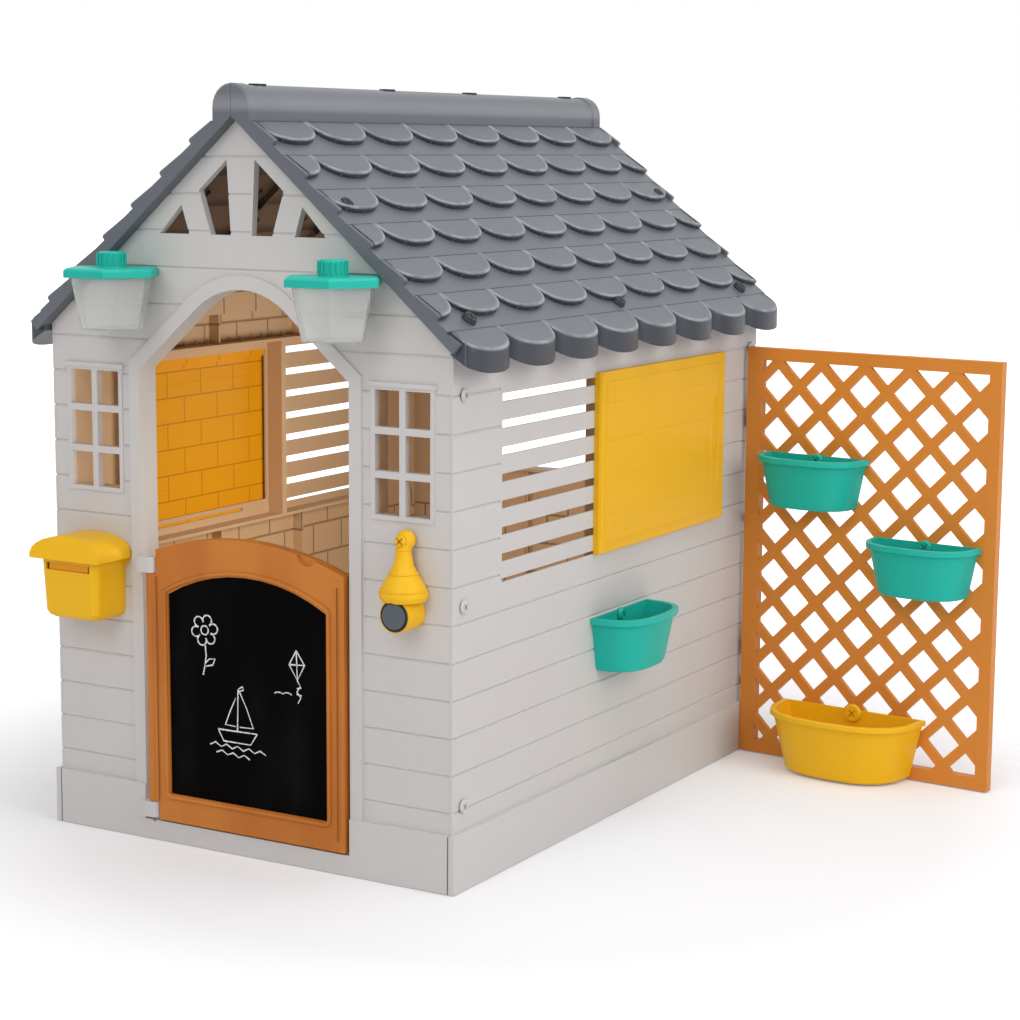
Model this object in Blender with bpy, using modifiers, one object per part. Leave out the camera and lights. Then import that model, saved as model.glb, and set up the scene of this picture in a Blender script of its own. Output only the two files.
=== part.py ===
"""A child's plastic playhouse, as separate mouldings with their hinges, slides and bolts.

Metres, +Z up. The front faces -Y, and the trellis stands at the +X side. The origin is on the
ground under the middle of the doorway, half way through the front wall.
"""

import math

import bmesh
import bpy
from mathutils import Matrix, Vector

# --- Driving dimensions -----------------------------------------------------------------------
GAP = 0.0003  # between pieces that touch
FIT = 0.0012  # clearance of a piece that slides or drops into another
SMOOTH_OVER = math.radians(35)  # edges flatter than this are shaded round

HOUSE_W = 0.840
HOUSE_D = 1.180
WALL_T = 0.040  # depth of a wall moulding, rim and all
SKIN = 0.0045
RIM = 0.006
RIB = 0.004
SIDE_RIBS = 4
EAVE_Z = 0.916
APEX_Z = 1.280
PLINTH_H = 0.100
PLINTH_OUT = 0.008
BOTTOM_RAIL = 0.012
GROOVE_PITCH = 0.0633
GROOVE_Z = 0.137  # lowest groove
GROOVE = 0.0026  # half its width, and its depth

DOORWAY_W = 0.440
SILL_Z = 0.036
ARCH_R = 0.142
ARCH_Z = 0.848  # centre of the arch's round top
TRIM_W = 0.024
TRIM_OUT = 0.005

PANE_W = 0.108  # a front window's glass area
PANE_Z = (0.6290, 0.8370)
MULLION = 0.012
PANES = (2, 3)
SURROUND = 0.008
BACK_SILL_Z = 0.546
GABLE_TRIANGLE = ((0.110, 1.081), (0.173, 1.081), (0.126, 1.131))
GABLE_LIGHT = ((0.022, 1.081), (0.064, 1.081), (0.088, 1.156), (0.029, 1.208))
GABLE_SOLID = 0.014  # how deep the gable's bars stay behind their face

BAY_Y = (0.132, 0.985)  # side window, slats and shutter window together
BAY_Z = (0.490, 0.842)
MULLION_Y = (0.505, 0.520)
SLOT_H = 0.014
SLOT_PITCH = 0.0453
SLOT_TOP = 0.825
SLOTS = 7
GUIDE_H = 0.0065
GUIDE_Z = 0.504
SHUTTER_WINDOW_Z = 0.519

ROOF_T = 0.021
ROOF_OVER = 0.026  # how far it runs past the front and back walls
ROOF_PAN = 0.012  # depth of the pans under it
ROOF_PAN_MARGIN = 0.062  # from the pans' ends to the eave's edge
EAVE_OUT = 0.014
TILE_ROWS = 7
TILE_COLUMNS = 8
TILE_ARC = 6  # sides of a tile's round end
TILE_NOTCH = 0.0045  # depth between two tiles where they part
TILE_RISE = 0.0085  # how far a tile's tip stands over its own root
TILE_LENGTH = 0.057
TILE_INSET = 0.010  # from the tiles to the roof's ends
TILE_THICK = 0.016
TILE_TIP = 0.095  # first row's tips, down the slope from the apex
TILE_PAST = 0.027  # how far the last row's tips hang past the eave's edge
EAVE_DROP = 0.037
RIDGE_R = 0.0375
RIDGE_RISE = 0.054  # the ridge's top over the walls' apex
COLLAR = 0.0025  # how far the ridge's end collars stand out
COLLAR_W = 0.030

DOOR_GAP = 0.0065
DOOR_T = 0.022
DOOR_FACE_Y = -0.032
DOOR_BOTTOM = 0.040
DOOR_SHOULDER = 0.5188
DOOR_APEX = 0.561
HINGE_IN = 0.020  # from the left jamb to the door's axis
HINGE_Y = -0.026
BARREL_R = 0.009
LUG_R = 0.012
LUG_H = 0.028
LUG_TOP_Z = 0.487
PIN_R = 0.003
PIN_SIDES = 12
BOARD_SIDE = (0.040, 0.0365)  # frame left beside the board: from the axis, and at the right
BOARD_Z = (0.0905, 0.4515)
BOARD_APEX = 0.497
BOARD_LIP = 0.006
BOARD_T = 0.004
LIP_T = 0.0045
SCOOP = (0.0755, 0.550, 0.021)  # in from the door's edge, z and radius of the finger scoop
SCOOP_DEEP = 0.008

SHUTTER_Y = (0.464, 0.990)
SHUTTER_Z = (0.5035, 0.8335)
SHUTTER_T = 0.010
SHUTTER_SHELL = 0.003
HOOK_L = 0.024
HOOK_T = 0.003
HOOK_LAP = 0.011
HOOK_Y = (0.470, 0.940)
SHUTTER_TRAVEL = 0.330

BOX_OUT = 0.006  # from the middle of the wall beside the doorway
BOX_W = 0.130
BOX_Z = (0.400, 0.516)
BOX_D = 0.083
BOX_WALL = 0.003
BOX_CORNER = 0.016
SLOT_W = 0.098
SLOT_Z = (0.487, 0.500)
LID_OVER = 0.012
LID_SKIRT = 0.009
LID_ARCH = 0.033
LID_RAKE = 0.012

BELL_OUT = 0.019  # from the middle of the wall beside the doorway
BELL_Y = -0.042
BELL_Z = 0.472  # centre of the button
BELL_DRUM_R = 0.029
BELL_DRUM_D = 0.050
BUTTON_R = 0.0225
BUTTON_OUT = 0.004
BUTTON_T = 0.009
BUTTON_TRAVEL = 0.004
BELL_CONE = ((0.0, 0.589), (0.012, 0.588), (0.0135, 0.574), (0.017, 0.554), (0.026, 0.536),
             (0.036, 0.520), (0.0415, 0.507), (0.041, 0.500), (0.037, 0.494), (0.0, 0.494))
BELL_BALL = (-0.035, 0.594, 0.0175)  # y, z and radius
BELL_SCREW_R = 0.0105  # flat that the screw's head rests on

LANTERN_X = (-0.224, 0.234)
LANTERN_Y = -0.089
LANTERN_BACK = 0.0685
LANTERN_Z = (0.919, 1.0135)
LANTERN_PAD = (0.050, 0.050)  # width and height of the cup's foot on the wall
CUP_HEX = (0.057, 0.075)  # hexagon's side at the bottom and at the top
CUP_WALL = 0.0025
LANTERN_LID = 0.087
LANTERN_LID_H = 0.016
LANTERN_LAP = 0.006
KNOB_R = 0.0245
KNOB_H = 0.027

POT = (0.228, 0.098, 0.101)  # width, depth and height of a small planter
BIG_POT = (0.316, 0.144, 0.122)
POT_WALL = 0.0028
POT_RIM = 0.007
POT_LIP = 0.011
POT_FOOT = 0.006
POT_ARC = 10  # sides of its round front
POT_TAPER = 0.85
WALL_POT = (0.570, 0.285)  # y and bottom z
TRELLIS_POTS = ((0.165, 0.5275), (0.4085, 0.377))
BIG_POT_AT = (0.261, 0.003)

TRELLIS_W = 0.5505
TRELLIS_Z = (0.002, 0.836)
TRELLIS_T = 0.020
TRELLIS_BEHIND = 0.0105  # from the panel's back to the hinge's axis
LATTICE_T = 0.010
STILES = (0.033, 0.025)
RAIL = 0.025
LATTICE_PITCH = 0.0965
STRIP = 0.0193
LATTICE_PHASE = (0.021, 0.038)
TRELLIS_TURN = math.radians(-5.4)  # as it stands in the photograph
TRELLIS_AXIS = (0.442, 1.128)
TRELLIS_EDGE = 0.0095  # from the axis to the stile's edge at the wall
TRELLIS_LUG_Z = (0.230, 0.700)

BOLT_SIDES = 6
HEAD_R = 0.0095
HEAD_H = 0.004
SHANK_R = 0.0035
BORE_FIT = 0.0006
CORNER_BOLT_Y = 0.012
CORNER_BOLT_Z = (0.144, 0.483, 0.833)
BOLTS_DOWN = (0.245, 0.051)  # upper ones from the apex, lower ones up from the eave's edge
ROOF_BOLTS = ((0, 0.0), (0, 1.0), (1, 0.04), (1, 0.5), (1, 0.96))

# --- What follows from them -------------------------------------------------------------------
FRONT_Y = -WALL_T / 2
BACK_Y = FRONT_Y + HOUSE_D
MIDDLE_Y = (FRONT_Y + BACK_Y) / 2
PITCH = math.atan((APEX_Z - EAVE_Z) / (HOUSE_W / 2))
SIDE_X = HOUSE_W / 2
PIN_BORE = (PIN_R + GAP) / math.cos(math.pi / PIN_SIDES)  # clears the pin at any turn
END_X = SIDE_X - SKIN - GAP  # end walls lie between the side walls' skins
ROOF_Y = (FRONT_Y - ROOF_OVER, BACK_Y + ROOF_OVER)
ROOF_L = (SIDE_X + EAVE_OUT) / math.cos(PITCH)  # down the slope from the apex to the eave
TILE_PITCH = (ROOF_L + TILE_PAST - TILE_TIP) / (TILE_ROWS - 1)
JAMB_X = DOORWAY_W / 2
BESIDE_X = (JAMB_X + SIDE_X) / 2  # middle of the wall beside the doorway
PANE_X = (BESIDE_X + 0.004 - PANE_W / 2, BESIDE_X + 0.004 + PANE_W / 2)
HINGE_X = HINGE_IN - JAMB_X
BOARD_X = (HINGE_X + BOARD_SIDE[0], JAMB_X - DOOR_GAP - BOARD_SIDE[1])
BOX_X = (-BESIDE_X - BOX_OUT - BOX_W / 2, -BESIDE_X - BOX_OUT + BOX_W / 2)
BELL_X = BESIDE_X + BELL_OUT
HALF_TURN = (Matrix.Translation((0.0, 2 * MIDDLE_Y, 0.0))
             @ Matrix.Rotation(math.pi, 4, "Z"))  # to the same moulding at the other side
TRELLIS_PLACE = (Matrix.Translation((*TRELLIS_AXIS, 0.0))
                 @ Matrix.Rotation(TRELLIS_TURN, 4, "Z"))
TRELLIS_FACE = -TRELLIS_BEHIND - TRELLIS_T
GUIDE_FRONT = (BAY_Y[0] + RIM, MULLION_Y[0] - RIM)
GUIDE_REAR = (HOOK_Y[1] - SHUTTER_TRAVEL - 2 * FIT, HOOK_Y[1] + HOOK_L + 2 * FIT)

# --- Collections and helpers ------------------------------------------------------------------
for old in list(bpy.data.objects):
    bpy.data.objects.remove(old, do_unlink=True)
PARTS = bpy.data.collections.new("playhouse")
CUTTERS = bpy.data.collections.new("cutters")
for group in (PARTS, CUTTERS):
    bpy.context.scene.collection.children.link(group)

VIEWS = {
    "X": Matrix(((0, 0, 1, 0), (1, 0, 0, 0), (0, 1, 0, 0), (0, 0, 0, 1))),
    "Y": Matrix(((1, 0, 0, 0), (0, 0, -1, 0), (0, 1, 0, 0), (0, 0, 0, 1))),
    "Z": Matrix.Identity(4),
}


def material(name, colour, roughness, metallic=0.0):
    made = bpy.data.materials.new(name)
    made.use_nodes = True
    shader = made.node_tree.nodes["Principled BSDF"]
    shader.inputs["Base Color"].default_value = (*colour, 1.0)
    shader.inputs["Roughness"].default_value = roughness
    shader.inputs["Metallic"].default_value = metallic
    return made


WHITE = ("warm_white", (0.66, 0.62, 0.57), 0.5)
SLATE = ("slate", (0.13, 0.14, 0.17), 0.45)
ORANGE = ("orange", (0.60, 0.20, 0.03), 0.45)
YELLOW = ("yellow", (0.83, 0.46, 0.02), 0.4)
TEAL = ("teal", (0.03, 0.47, 0.38), 0.4)
CLEAR = ("clear", (0.80, 0.82, 0.80), 0.15)
BLACK = ("board_black", (0.01, 0.008, 0.008), 0.6)
GREY = ("button_grey", (0.08, 0.09, 0.10), 0.5)


def held(name, mesh):
    """An object that is only worked on: finish() makes it a piece, and cut() or join() a tool."""
    obj = bpy.data.objects.new(name, mesh)
    CUTTERS.objects.link(obj)
    obj.hide_render = True
    obj.display_type = "WIRE"
    return obj


def from_bmesh(name, work):
    bmesh.ops.recalc_face_normals(work, faces=work.faces)
    mesh = bpy.data.meshes.new(name)
    work.to_mesh(mesh)
    work.free()
    return held(name, mesh)


def box(name, low, high):
    work = bmesh.new()
    bmesh.ops.create_cube(work, size=1.0)
    size = Vector(high) - Vector(low)
    middle = (Vector(high) + Vector(low)) / 2
    bmesh.ops.scale(work, vec=size, verts=work.verts)
    bmesh.ops.translate(work, vec=middle, verts=work.verts)
    return from_bmesh(name, work)


def rod(name, start, end, radius, sides=BOLT_SIDES):
    """A cylinder from one point to another."""
    way = Vector(end) - Vector(start)
    work = bmesh.new()
    turn = way.to_track_quat("Z", "Y").to_matrix().to_4x4()
    place = Matrix.Translation((Vector(start) + Vector(end)) / 2) @ turn
    bmesh.ops.create_cone(work, cap_ends=True, segments=sides, radius1=radius, radius2=radius,
                          depth=way.length, matrix=place)
    return from_bmesh(name, work)


def flat(name, loops, view, low, high):
    """A flat outline with holes, as a prism from low to high along the axis it is seen along."""
    curve = bpy.data.curves.new(name, "CURVE")
    curve.dimensions = "2D"
    curve.fill_mode = "BOTH"
    curve.extrude = (high - low) / 2
    for loop in loops:
        spline = curve.splines.new("POLY")
        spline.points.add(len(loop) - 1)
        for point, (u, v) in zip(spline.points, loop):
            point.co = (u, v, 0.0, 1.0)
        spline.use_cyclic_u = True
    drawn = bpy.data.objects.new(name, curve)
    PARTS.objects.link(drawn)
    bpy.context.view_layer.update()
    graph = bpy.context.evaluated_depsgraph_get()
    mesh = bpy.data.meshes.new_from_object(drawn.evaluated_get(graph))
    bpy.data.objects.remove(drawn, do_unlink=True)
    work = bmesh.new()
    work.from_mesh(mesh)
    bmesh.ops.remove_doubles(work, verts=work.verts, dist=1e-6)
    away = -(low + high) / 2 if view == "Y" else (low + high) / 2
    work.transform(VIEWS[view] @ Matrix.Translation((0, 0, away)))
    return from_bmesh(name, work)


def loft(name, rings):
    """A closed body through rings of as many points each, capped at both ends."""
    work = bmesh.new()
    rows = [[work.verts.new(point) for point in ring] for ring in rings]
    for lower, upper in zip(rows, rows[1:]):
        for i in range(len(lower)):
            j = (i + 1) % len(lower)
            work.faces.new((lower[i], lower[j], upper[j], upper[i]))
    work.faces.new(rows[0][::-1])
    work.faces.new(rows[-1])
    return from_bmesh(name, work)


def turned(name, profile, steps):
    """A body turned about Z. The profile runs from the top of the axis to its foot."""
    mesh = bpy.data.meshes.new(name)
    mesh.from_pydata([(r, 0.0, z) for r, z in profile],
                     [(i, i + 1) for i in range(len(profile) - 1)], [])
    obj = held(name, mesh)
    screw = obj.modifiers.new("Turn", "SCREW")
    screw.steps = steps
    screw.render_steps = steps
    screw.use_merge_vertices = True
    screw.merge_threshold = 1e-5
    screw.use_smooth_shade = False
    return obj


def boolean(target, tools, operation):
    for tool in tools:
        step = target.modifiers.new(tool.name, "BOOLEAN")
        step.operation = operation
        step.solver = "EXACT"
        step.object = tool
    return target


def cut(target, *tools):
    return boolean(target, tools, "DIFFERENCE")


def join(target, *tools):
    return boolean(target, tools, "UNION")


def copies(name, pieces):
    """One tool mesh from several that lie clear of each other."""
    work = bmesh.new()
    for piece in pieces:
        work.from_mesh(piece.data)
        bpy.data.objects.remove(piece, do_unlink=True)
    return from_bmesh(name, work)


def moved(obj, matrix):
    """Moves a worked object with every tool that cuts or joins it."""
    for step in obj.modifiers:
        if step.type == "BOOLEAN":
            moved(step.object, matrix)
    obj.matrix_basis = matrix @ obj.matrix_basis
    return obj


def rounded(obj):
    """Shades a worked object and its tools smooth over their flatter edges."""
    for mesh in (obj.data, *(step.object.data for step in obj.modifiers if step.type == "BOOLEAN")):
        mesh.shade_smooth()
        mesh.set_sharp_from_angle(angle=SMOOTH_OVER)


def finish(obj, name, look, origin=None):
    """Makes a worked object one of the pieces. The origin is where it is held or turns."""
    rounded(obj)
    obj.name = name
    CUTTERS.objects.unlink(obj)
    PARTS.objects.link(obj)
    obj.hide_render = False
    obj.display_type = "TEXTURED"
    if origin:
        obj.data.transform(Matrix.Translation(-Vector(origin)))
        obj.location = origin
    obj.data.materials.clear()
    obj.data.materials.append(material(name + "_" + look[0], look[1], look[2]))
    return obj


def arc(u, v, radius, start, end, steps):
    """Points of an arc, with its angles in degrees."""
    turns = [math.radians(start + (end - start) * i / steps) for i in range(steps + 1)]
    return [(u + radius * math.cos(t), v + radius * math.sin(t)) for t in turns]


def rectangle(u, v, grow=0.0):
    return [(u[0] - grow, v[0] - grow), (u[1] + grow, v[0] - grow),
            (u[1] + grow, v[1] + grow), (u[0] - grow, v[1] + grow)]


def clipped(loop, axis, limit, keep_above):
    """The part of a loop on one side of a line across it."""
    kept = []
    for (a, b) in zip(loop, loop[1:] + loop[:1]):
        inside = [(p[axis] >= limit) == keep_above for p in (a, b)]
        if inside[0]:
            kept.append(a)
        if inside[0] != inside[1]:
            t = (limit - a[axis]) / (b[axis] - a[axis])
            kept.append(tuple(a[i] + (b[i] - a[i]) * t for i in (0, 1)))
    return kept


def clipped_to(loop, u, v):
    for axis, (low, high) in enumerate((u, v)):
        loop = clipped(loop, axis, low, True) if loop else loop
        loop = clipped(loop, axis, high, False) if loop else loop
    return loop


# --- Outlines of the end walls ----------------------------------------------------------------
def rake_z(x, inward=0.0):
    """Height of the roof's underside over x, or of a line that far inside it."""
    return APEX_Z - abs(x) * math.tan(PITCH) - inward / math.cos(PITCH)


def gable(inward, bottom, seat=0.0):
    """The wall's five-sided outline, drawn in by a rim."""
    x = END_X - inward
    return [(-x, bottom), (x, bottom), (x, rake_z(x, inward + seat)),
            (0.0, rake_z(0.0, inward + seat)), (-x, rake_z(x, inward + seat))]


def arch(outward, bottom):
    """The doorway's outline, let out by a rim: straight jambs, raked shoulders, round top."""
    half = DOORWAY_W / 2 + outward
    radius = ARCH_R + outward
    steep = math.degrees(PITCH)
    crown = arc(0.0, ARCH_Z, radius, 90 - steep, 90 + steep, 10)
    spring = crown[0][1] - (half - crown[0][0]) * math.tan(PITCH)
    return [(-half, bottom), (half, bottom), (half, spring), *crown, (-half, spring)]


def arch_half_width(z, outward):
    """Half the width of the let-out doorway at a height, or 0 above it."""
    radius = ARCH_R + outward
    tangent_z = ARCH_Z + radius * math.cos(PITCH)
    if z >= ARCH_Z + radius:
        return 0.0
    if z > tangent_z:
        return math.sqrt(radius**2 - (z - ARCH_Z) ** 2)
    sloping = radius * math.sin(PITCH) + (tangent_z - z) / math.tan(PITCH)
    return min(sloping, DOORWAY_W / 2 + outward)


def mirrored(loop, side):
    return [(side * u, v) for u, v in loop]


def groove_heights():
    """Every clapboard groove's height, from the plinth to under the apex."""
    count = int((APEX_Z - GROOVE_PITCH / 2 - GROOVE_Z) / GROOVE_PITCH) + 1
    return [GROOVE_Z + GROOVE_PITCH * i for i in range(count)]


def groove(name, start, end):
    """A V-groove cutter along a line: a rod of four sides with one edge facing in."""
    return rod(name, start, end, GROOVE, 4)


# --- End walls --------------------------------------------------------------------------------
def end_grooves(y, lowest, opening):
    """Clapboard grooves of an end wall whose face is at y, on both sides of its opening."""
    made = []
    for z in groove_heights():
        reach = min(END_X, (APEX_Z - z) / math.tan(PITCH)) + 0.02
        inner = arch_half_width(z, TRIM_W + GROOVE) if z > lowest else 0.0
        if inner == 0.0:
            made.append(groove("groove", (-reach, y, z), (reach, y, z)))
            continue
        for side in (-1, 1):
            for low, high in split_by_windows(inner, reach, z) if opening else [(inner, reach)]:
                made.append(groove("groove", (side * low, y, z), (side * high, y, z)))
    return copies("end_grooves", made)


def split_by_windows(inner, reach, z):
    """The stretches of a groove that lie clear of a window's surround."""
    clear = SURROUND + GROOVE
    if not PANE_Z[0] - clear < z < PANE_Z[1] + clear + SURROUND:
        return [(inner, reach)]
    return [(inner, PANE_X[0] - clear), (PANE_X[1] + clear, reach)]


def end_wall_blank(name, face, out):
    """A gabled slab with its plinth and door trim. out is -1 at the front and 1 at the back."""
    low, high = sorted((face, face - out * WALL_T))
    blank = flat(name, [gable(0.0, 0.0, GAP)], "Y", low, high)
    low, high = sorted((face + out * PLINTH_OUT, face - out * SKIN))
    plinth = box(name + "_plinth", (GAP - END_X, low, GAP), (END_X - GAP, high, PLINTH_H))
    return blank, plinth


def end_wall_pocket(name, inner, back, top, openings):
    """What hollows an end wall from inside up to a height, round the rims of its openings."""
    low, high = sorted((inner, back))
    outline = clipped(gable(RIM, BOTTOM_RAIL, GAP), 1, top, False)
    return flat(name, [outline, *openings], "Y", low, high)


def gable_openings(low, high):
    loops = []
    for side in (-1, 1):
        for shape in (GABLE_TRIANGLE, GABLE_LIGHT):
            loops.append(flat("gable_opening", [mirrored(shape, side)], "Y", low, high))
    return copies("gable_openings", loops)


def gable_pocket(low, high):
    belt = GABLE_TRIANGLE[0][1] - RIM
    x = (rake_z(0.0, RIM) - belt) / math.tan(PITCH)
    return flat("gable_pocket", [[(-x, belt), (x, belt), (0.0, rake_z(0.0, RIM))]], "Y", low, high)


def window_panes(side, low, high):
    """The six holes of a front window."""
    across, up = PANES
    width = (PANE_X[1] - PANE_X[0] - (across - 1) * MULLION) / across
    height = (PANE_Z[1] - PANE_Z[0] - (up - 1) * MULLION) / up
    panes = []
    for i in range(across):
        for j in range(up):
            x = PANE_X[0] + i * (width + MULLION)
            z = PANE_Z[0] + j * (height + MULLION)
            loop = mirrored(rectangle((x, x + width), (z, z + height)), side)
            panes.append(flat("pane", [loop], "Y", low, high))
    return panes


def front_wall():
    wall, plinth = end_wall_blank("front_wall", FRONT_Y, -1)
    past = (FRONT_Y - 0.05, FRONT_Y + WALL_T + 0.02)
    inner = FRONT_Y + SKIN
    trims = [flat("door_trim", [arch(TRIM_W, PLINTH_H / 2)], "Y", FRONT_Y - TRIM_OUT, inner)]
    for side in (-1, 1):
        loop = mirrored(rectangle(PANE_X, PANE_Z, SURROUND), side)
        trims.append(flat("surround", [loop], "Y", FRONT_Y - TRIM_OUT / 2, inner))
        ledge = rectangle((PANE_X[0] - SURROUND * 1.6, PANE_X[1] + SURROUND * 1.6),
                          (PANE_Z[1] + SURROUND * 0.6, PANE_Z[1] + SURROUND * 1.6))
        trims.append(flat("drip_ledge", [mirrored(ledge, side)], "Y", FRONT_Y - TRIM_OUT, inner))
    join(wall, plinth, *trims)
    rims = [arch(RIM, SILL_Z - RIM)]
    for side in (-1, 1):
        rims.append(mirrored(rectangle(PANE_X, PANE_Z, RIM), side))
    cut(wall, end_wall_pocket("front_pocket", inner, past[1], GABLE_TRIANGLE[0][1] - 2 * RIM, rims))
    cut(wall, gable_pocket(FRONT_Y + GABLE_SOLID, past[1]))
    for side in (-1, 1):
        rear = mirrored(rectangle(PANE_X, PANE_Z, RIM / 5), side)
        cut(wall, flat("mullion_rebate", [rear], "Y", FRONT_Y + GABLE_SOLID, past[1]))
    cut(wall, copies("panes", window_panes(-1, *past) + window_panes(1, *past)))
    cut(wall, gable_openings(*past))
    cut(wall, end_grooves(FRONT_Y, SILL_Z, True))
    for z in (0.20, 0.42):
        for side in (-1, 1):
            ends = sorted((side * (DOORWAY_W / 2 + RIM / 2), side * (END_X - RIM / 2)))
            join(wall, box("rib", (ends[0], FRONT_Y + SKIN / 2, z),
                           (ends[1], FRONT_Y + WALL_T * 0.8, z + RIB)))
    for side in (-1, 1):
        x = side * (PANE_X[0] + PANE_X[1]) / 2
        join(wall, box("rib", (x - RIB / 2, FRONT_Y + SKIN / 2, BOTTOM_RAIL / 2),
                       (x + RIB / 2, FRONT_Y + WALL_T * 0.7, PANE_Z[0] - RIM / 2)))
    cut(wall, flat("doorway", [arch(0.0, SILL_Z)], "Y", *past))
    for z in (LUG_TOP_Z, lower_lug_z()):
        join(wall, hinge_lug(z))
        cut(wall, rod("lug_bore", (HINGE_X, HINGE_Y, z - 0.01), (HINGE_X, HINGE_Y, z + 0.05),
                      PIN_BORE, PIN_SIDES))
    return wall


def lower_lug_z():
    return DOOR_BOTTOM + GAP * 10


def hinge_lug(z):
    """A knuckle that reaches from the left jamb round the door's pin."""
    jamb = -DOORWAY_W / 2 - RIM / 2
    loop = [(jamb, HINGE_Y + LUG_R), *arc(HINGE_X, HINGE_Y, LUG_R, 90, -90, 8),
            (jamb, HINGE_Y - LUG_R)]
    return flat("hinge_lug", [loop], "Z", z, z + LUG_H)


def back_wall():
    wall, plinth = end_wall_blank("back_wall", BACK_Y, 1)
    past = (BACK_Y - WALL_T - 0.02, BACK_Y + 0.05)
    inner = BACK_Y - SKIN
    trim = flat("back_trim", [arch(TRIM_W, BACK_SILL_Z - TRIM_W)], "Y", inner, BACK_Y + TRIM_OUT)
    join(wall, plinth, trim)
    cut(wall, end_wall_pocket("back_pocket", past[0], inner, APEX_Z,
                              [arch(RIM, BACK_SILL_Z - RIM)]))
    cut(wall, end_grooves(BACK_Y, BACK_SILL_Z - TRIM_W, False))
    for x in (-0.30, -0.10, 0.10, 0.30):
        top = BACK_SILL_Z - RIM / 2 if abs(x) < DOORWAY_W / 2 else rake_z(x, RIM / 2)
        join(wall, box("rib", (x - RIB / 2, BACK_Y - WALL_T * 0.7, BOTTOM_RAIL / 2),
                       (x + RIB / 2, BACK_Y - SKIN / 2, top)))
    cut(wall, flat("back_window", [arch(0.0, BACK_SILL_Z)], "Y", *past))
    return wall


# --- Side walls: one moulding, used twice -----------------------------------------------------
def side_wall():
    """The +X wall: skin over the whole length, a deep rim between the end walls."""
    top = rake_z(SIDE_X - WALL_T)
    inner = SIDE_X - SKIN
    deep = (FRONT_Y + WALL_T + GAP, BACK_Y - WALL_T - GAP)
    plan = [(SIDE_X, FRONT_Y), (SIDE_X, BACK_Y), (inner, BACK_Y), (inner, deep[1]),
            (SIDE_X - WALL_T, deep[1]), (SIDE_X - WALL_T, deep[0]), (inner, deep[0]),
            (inner, FRONT_Y)]
    wall = flat("side_wall", [plan], "Z", 0.0, top)
    seat = [(x, rake_z(x, GAP)) for x in (SIDE_X - 2 * WALL_T, SIDE_X + WALL_T)]
    cut(wall, flat("roof_seat", [seat + [(SIDE_X + WALL_T, APEX_Z)]], "Y",
                   FRONT_Y - 0.02, BACK_Y + 0.02))
    top = EAVE_Z
    join(wall, box("side_plinth", (SIDE_X - SKIN / 2, FRONT_Y - PLINTH_OUT, GAP),
                   (SIDE_X + PLINTH_OUT, BACK_Y + PLINTH_OUT, PLINTH_H)))
    past = (SIDE_X - WALL_T - 0.02, SIDE_X + 0.02)
    bay = (BAY_Y[0] - RIM, BAY_Y[1] + RIM), (BAY_Z[0] - RIM, BAY_Z[1] + RIM)
    frame_u = (deep[0] + RIM, deep[1] - RIM)
    cut(wall, flat("side_pocket", [rectangle(frame_u, (BOTTOM_RAIL, top - RIM * 1.5)),
                                   rectangle(*bay)], "X", past[0], inner))
    for stretch in ((BAY_Y[0], MULLION_Y[0]), (MULLION_Y[1], BAY_Y[1])):
        cut(wall, flat("bay_pocket", [rectangle(stretch, BAY_Z)], "X", past[0], inner))
    holes = [flat("shutter_window", [rectangle((MULLION_Y[1] + RIM, BAY_Y[1] - RIM),
                                               (SHUTTER_WINDOW_Z, SLOT_TOP))], "X", *past)]
    for i in range(SLOTS):
        z = SLOT_TOP - SLOT_PITCH * i
        loop = rectangle(GUIDE_FRONT, (z - SLOT_H, z))
        holes.append(flat("slot", [loop], "X", *past))
    for stretch in (GUIDE_FRONT, GUIDE_REAR):
        loop = rectangle(stretch, (GUIDE_Z, GUIDE_Z + GUIDE_H))
        holes.append(flat("guide", [loop], "X", *past))
    cut(wall, copies("side_holes", holes))
    grooves = []
    for z in groove_heights():
        if z > top - GROOVE_PITCH / 4:
            continue
        ends = [(FRONT_Y - 0.02, BACK_Y + 0.02)]
        if BAY_Z[0] < z < BAY_Z[1]:
            ends = [(FRONT_Y - 0.02, BAY_Y[0]), (BAY_Y[1] + RIM, BACK_Y + 0.02)]
        for low, high in ends:
            grooves.append(groove("groove", (SIDE_X, low, z), (SIDE_X, high, z)))
    cut(wall, copies("side_grooves", grooves))
    for i in range(SIDE_RIBS):
        y = deep[0] + (deep[1] - deep[0]) * (i + 0.5) / SIDE_RIBS
        for low, high in ((BOTTOM_RAIL / 2, BAY_Z[0] - RIM / 2), (BAY_Z[1] + RIM / 2, top - RIM)):
            join(wall, box("rib", (SIDE_X - WALL_T * 0.7, y - RIB / 2, low),
                           (SIDE_X - SKIN / 2, y + RIB / 2, high)))
    return wall


# --- Roof -------------------------------------------------------------------------------------
def slope(s, n):
    """A point of the right slope's section: s down the slope from the apex, n above its foot."""
    return (s * math.cos(PITCH) + n * math.sin(PITCH), APEX_Z - s * math.sin(PITCH)
            + n * math.cos(PITCH))


def seam(row):
    """Where a row of tiles comes out from under the row above, down the slope."""
    return TILE_TIP + TILE_PITCH * row - TILE_LENGTH


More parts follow.
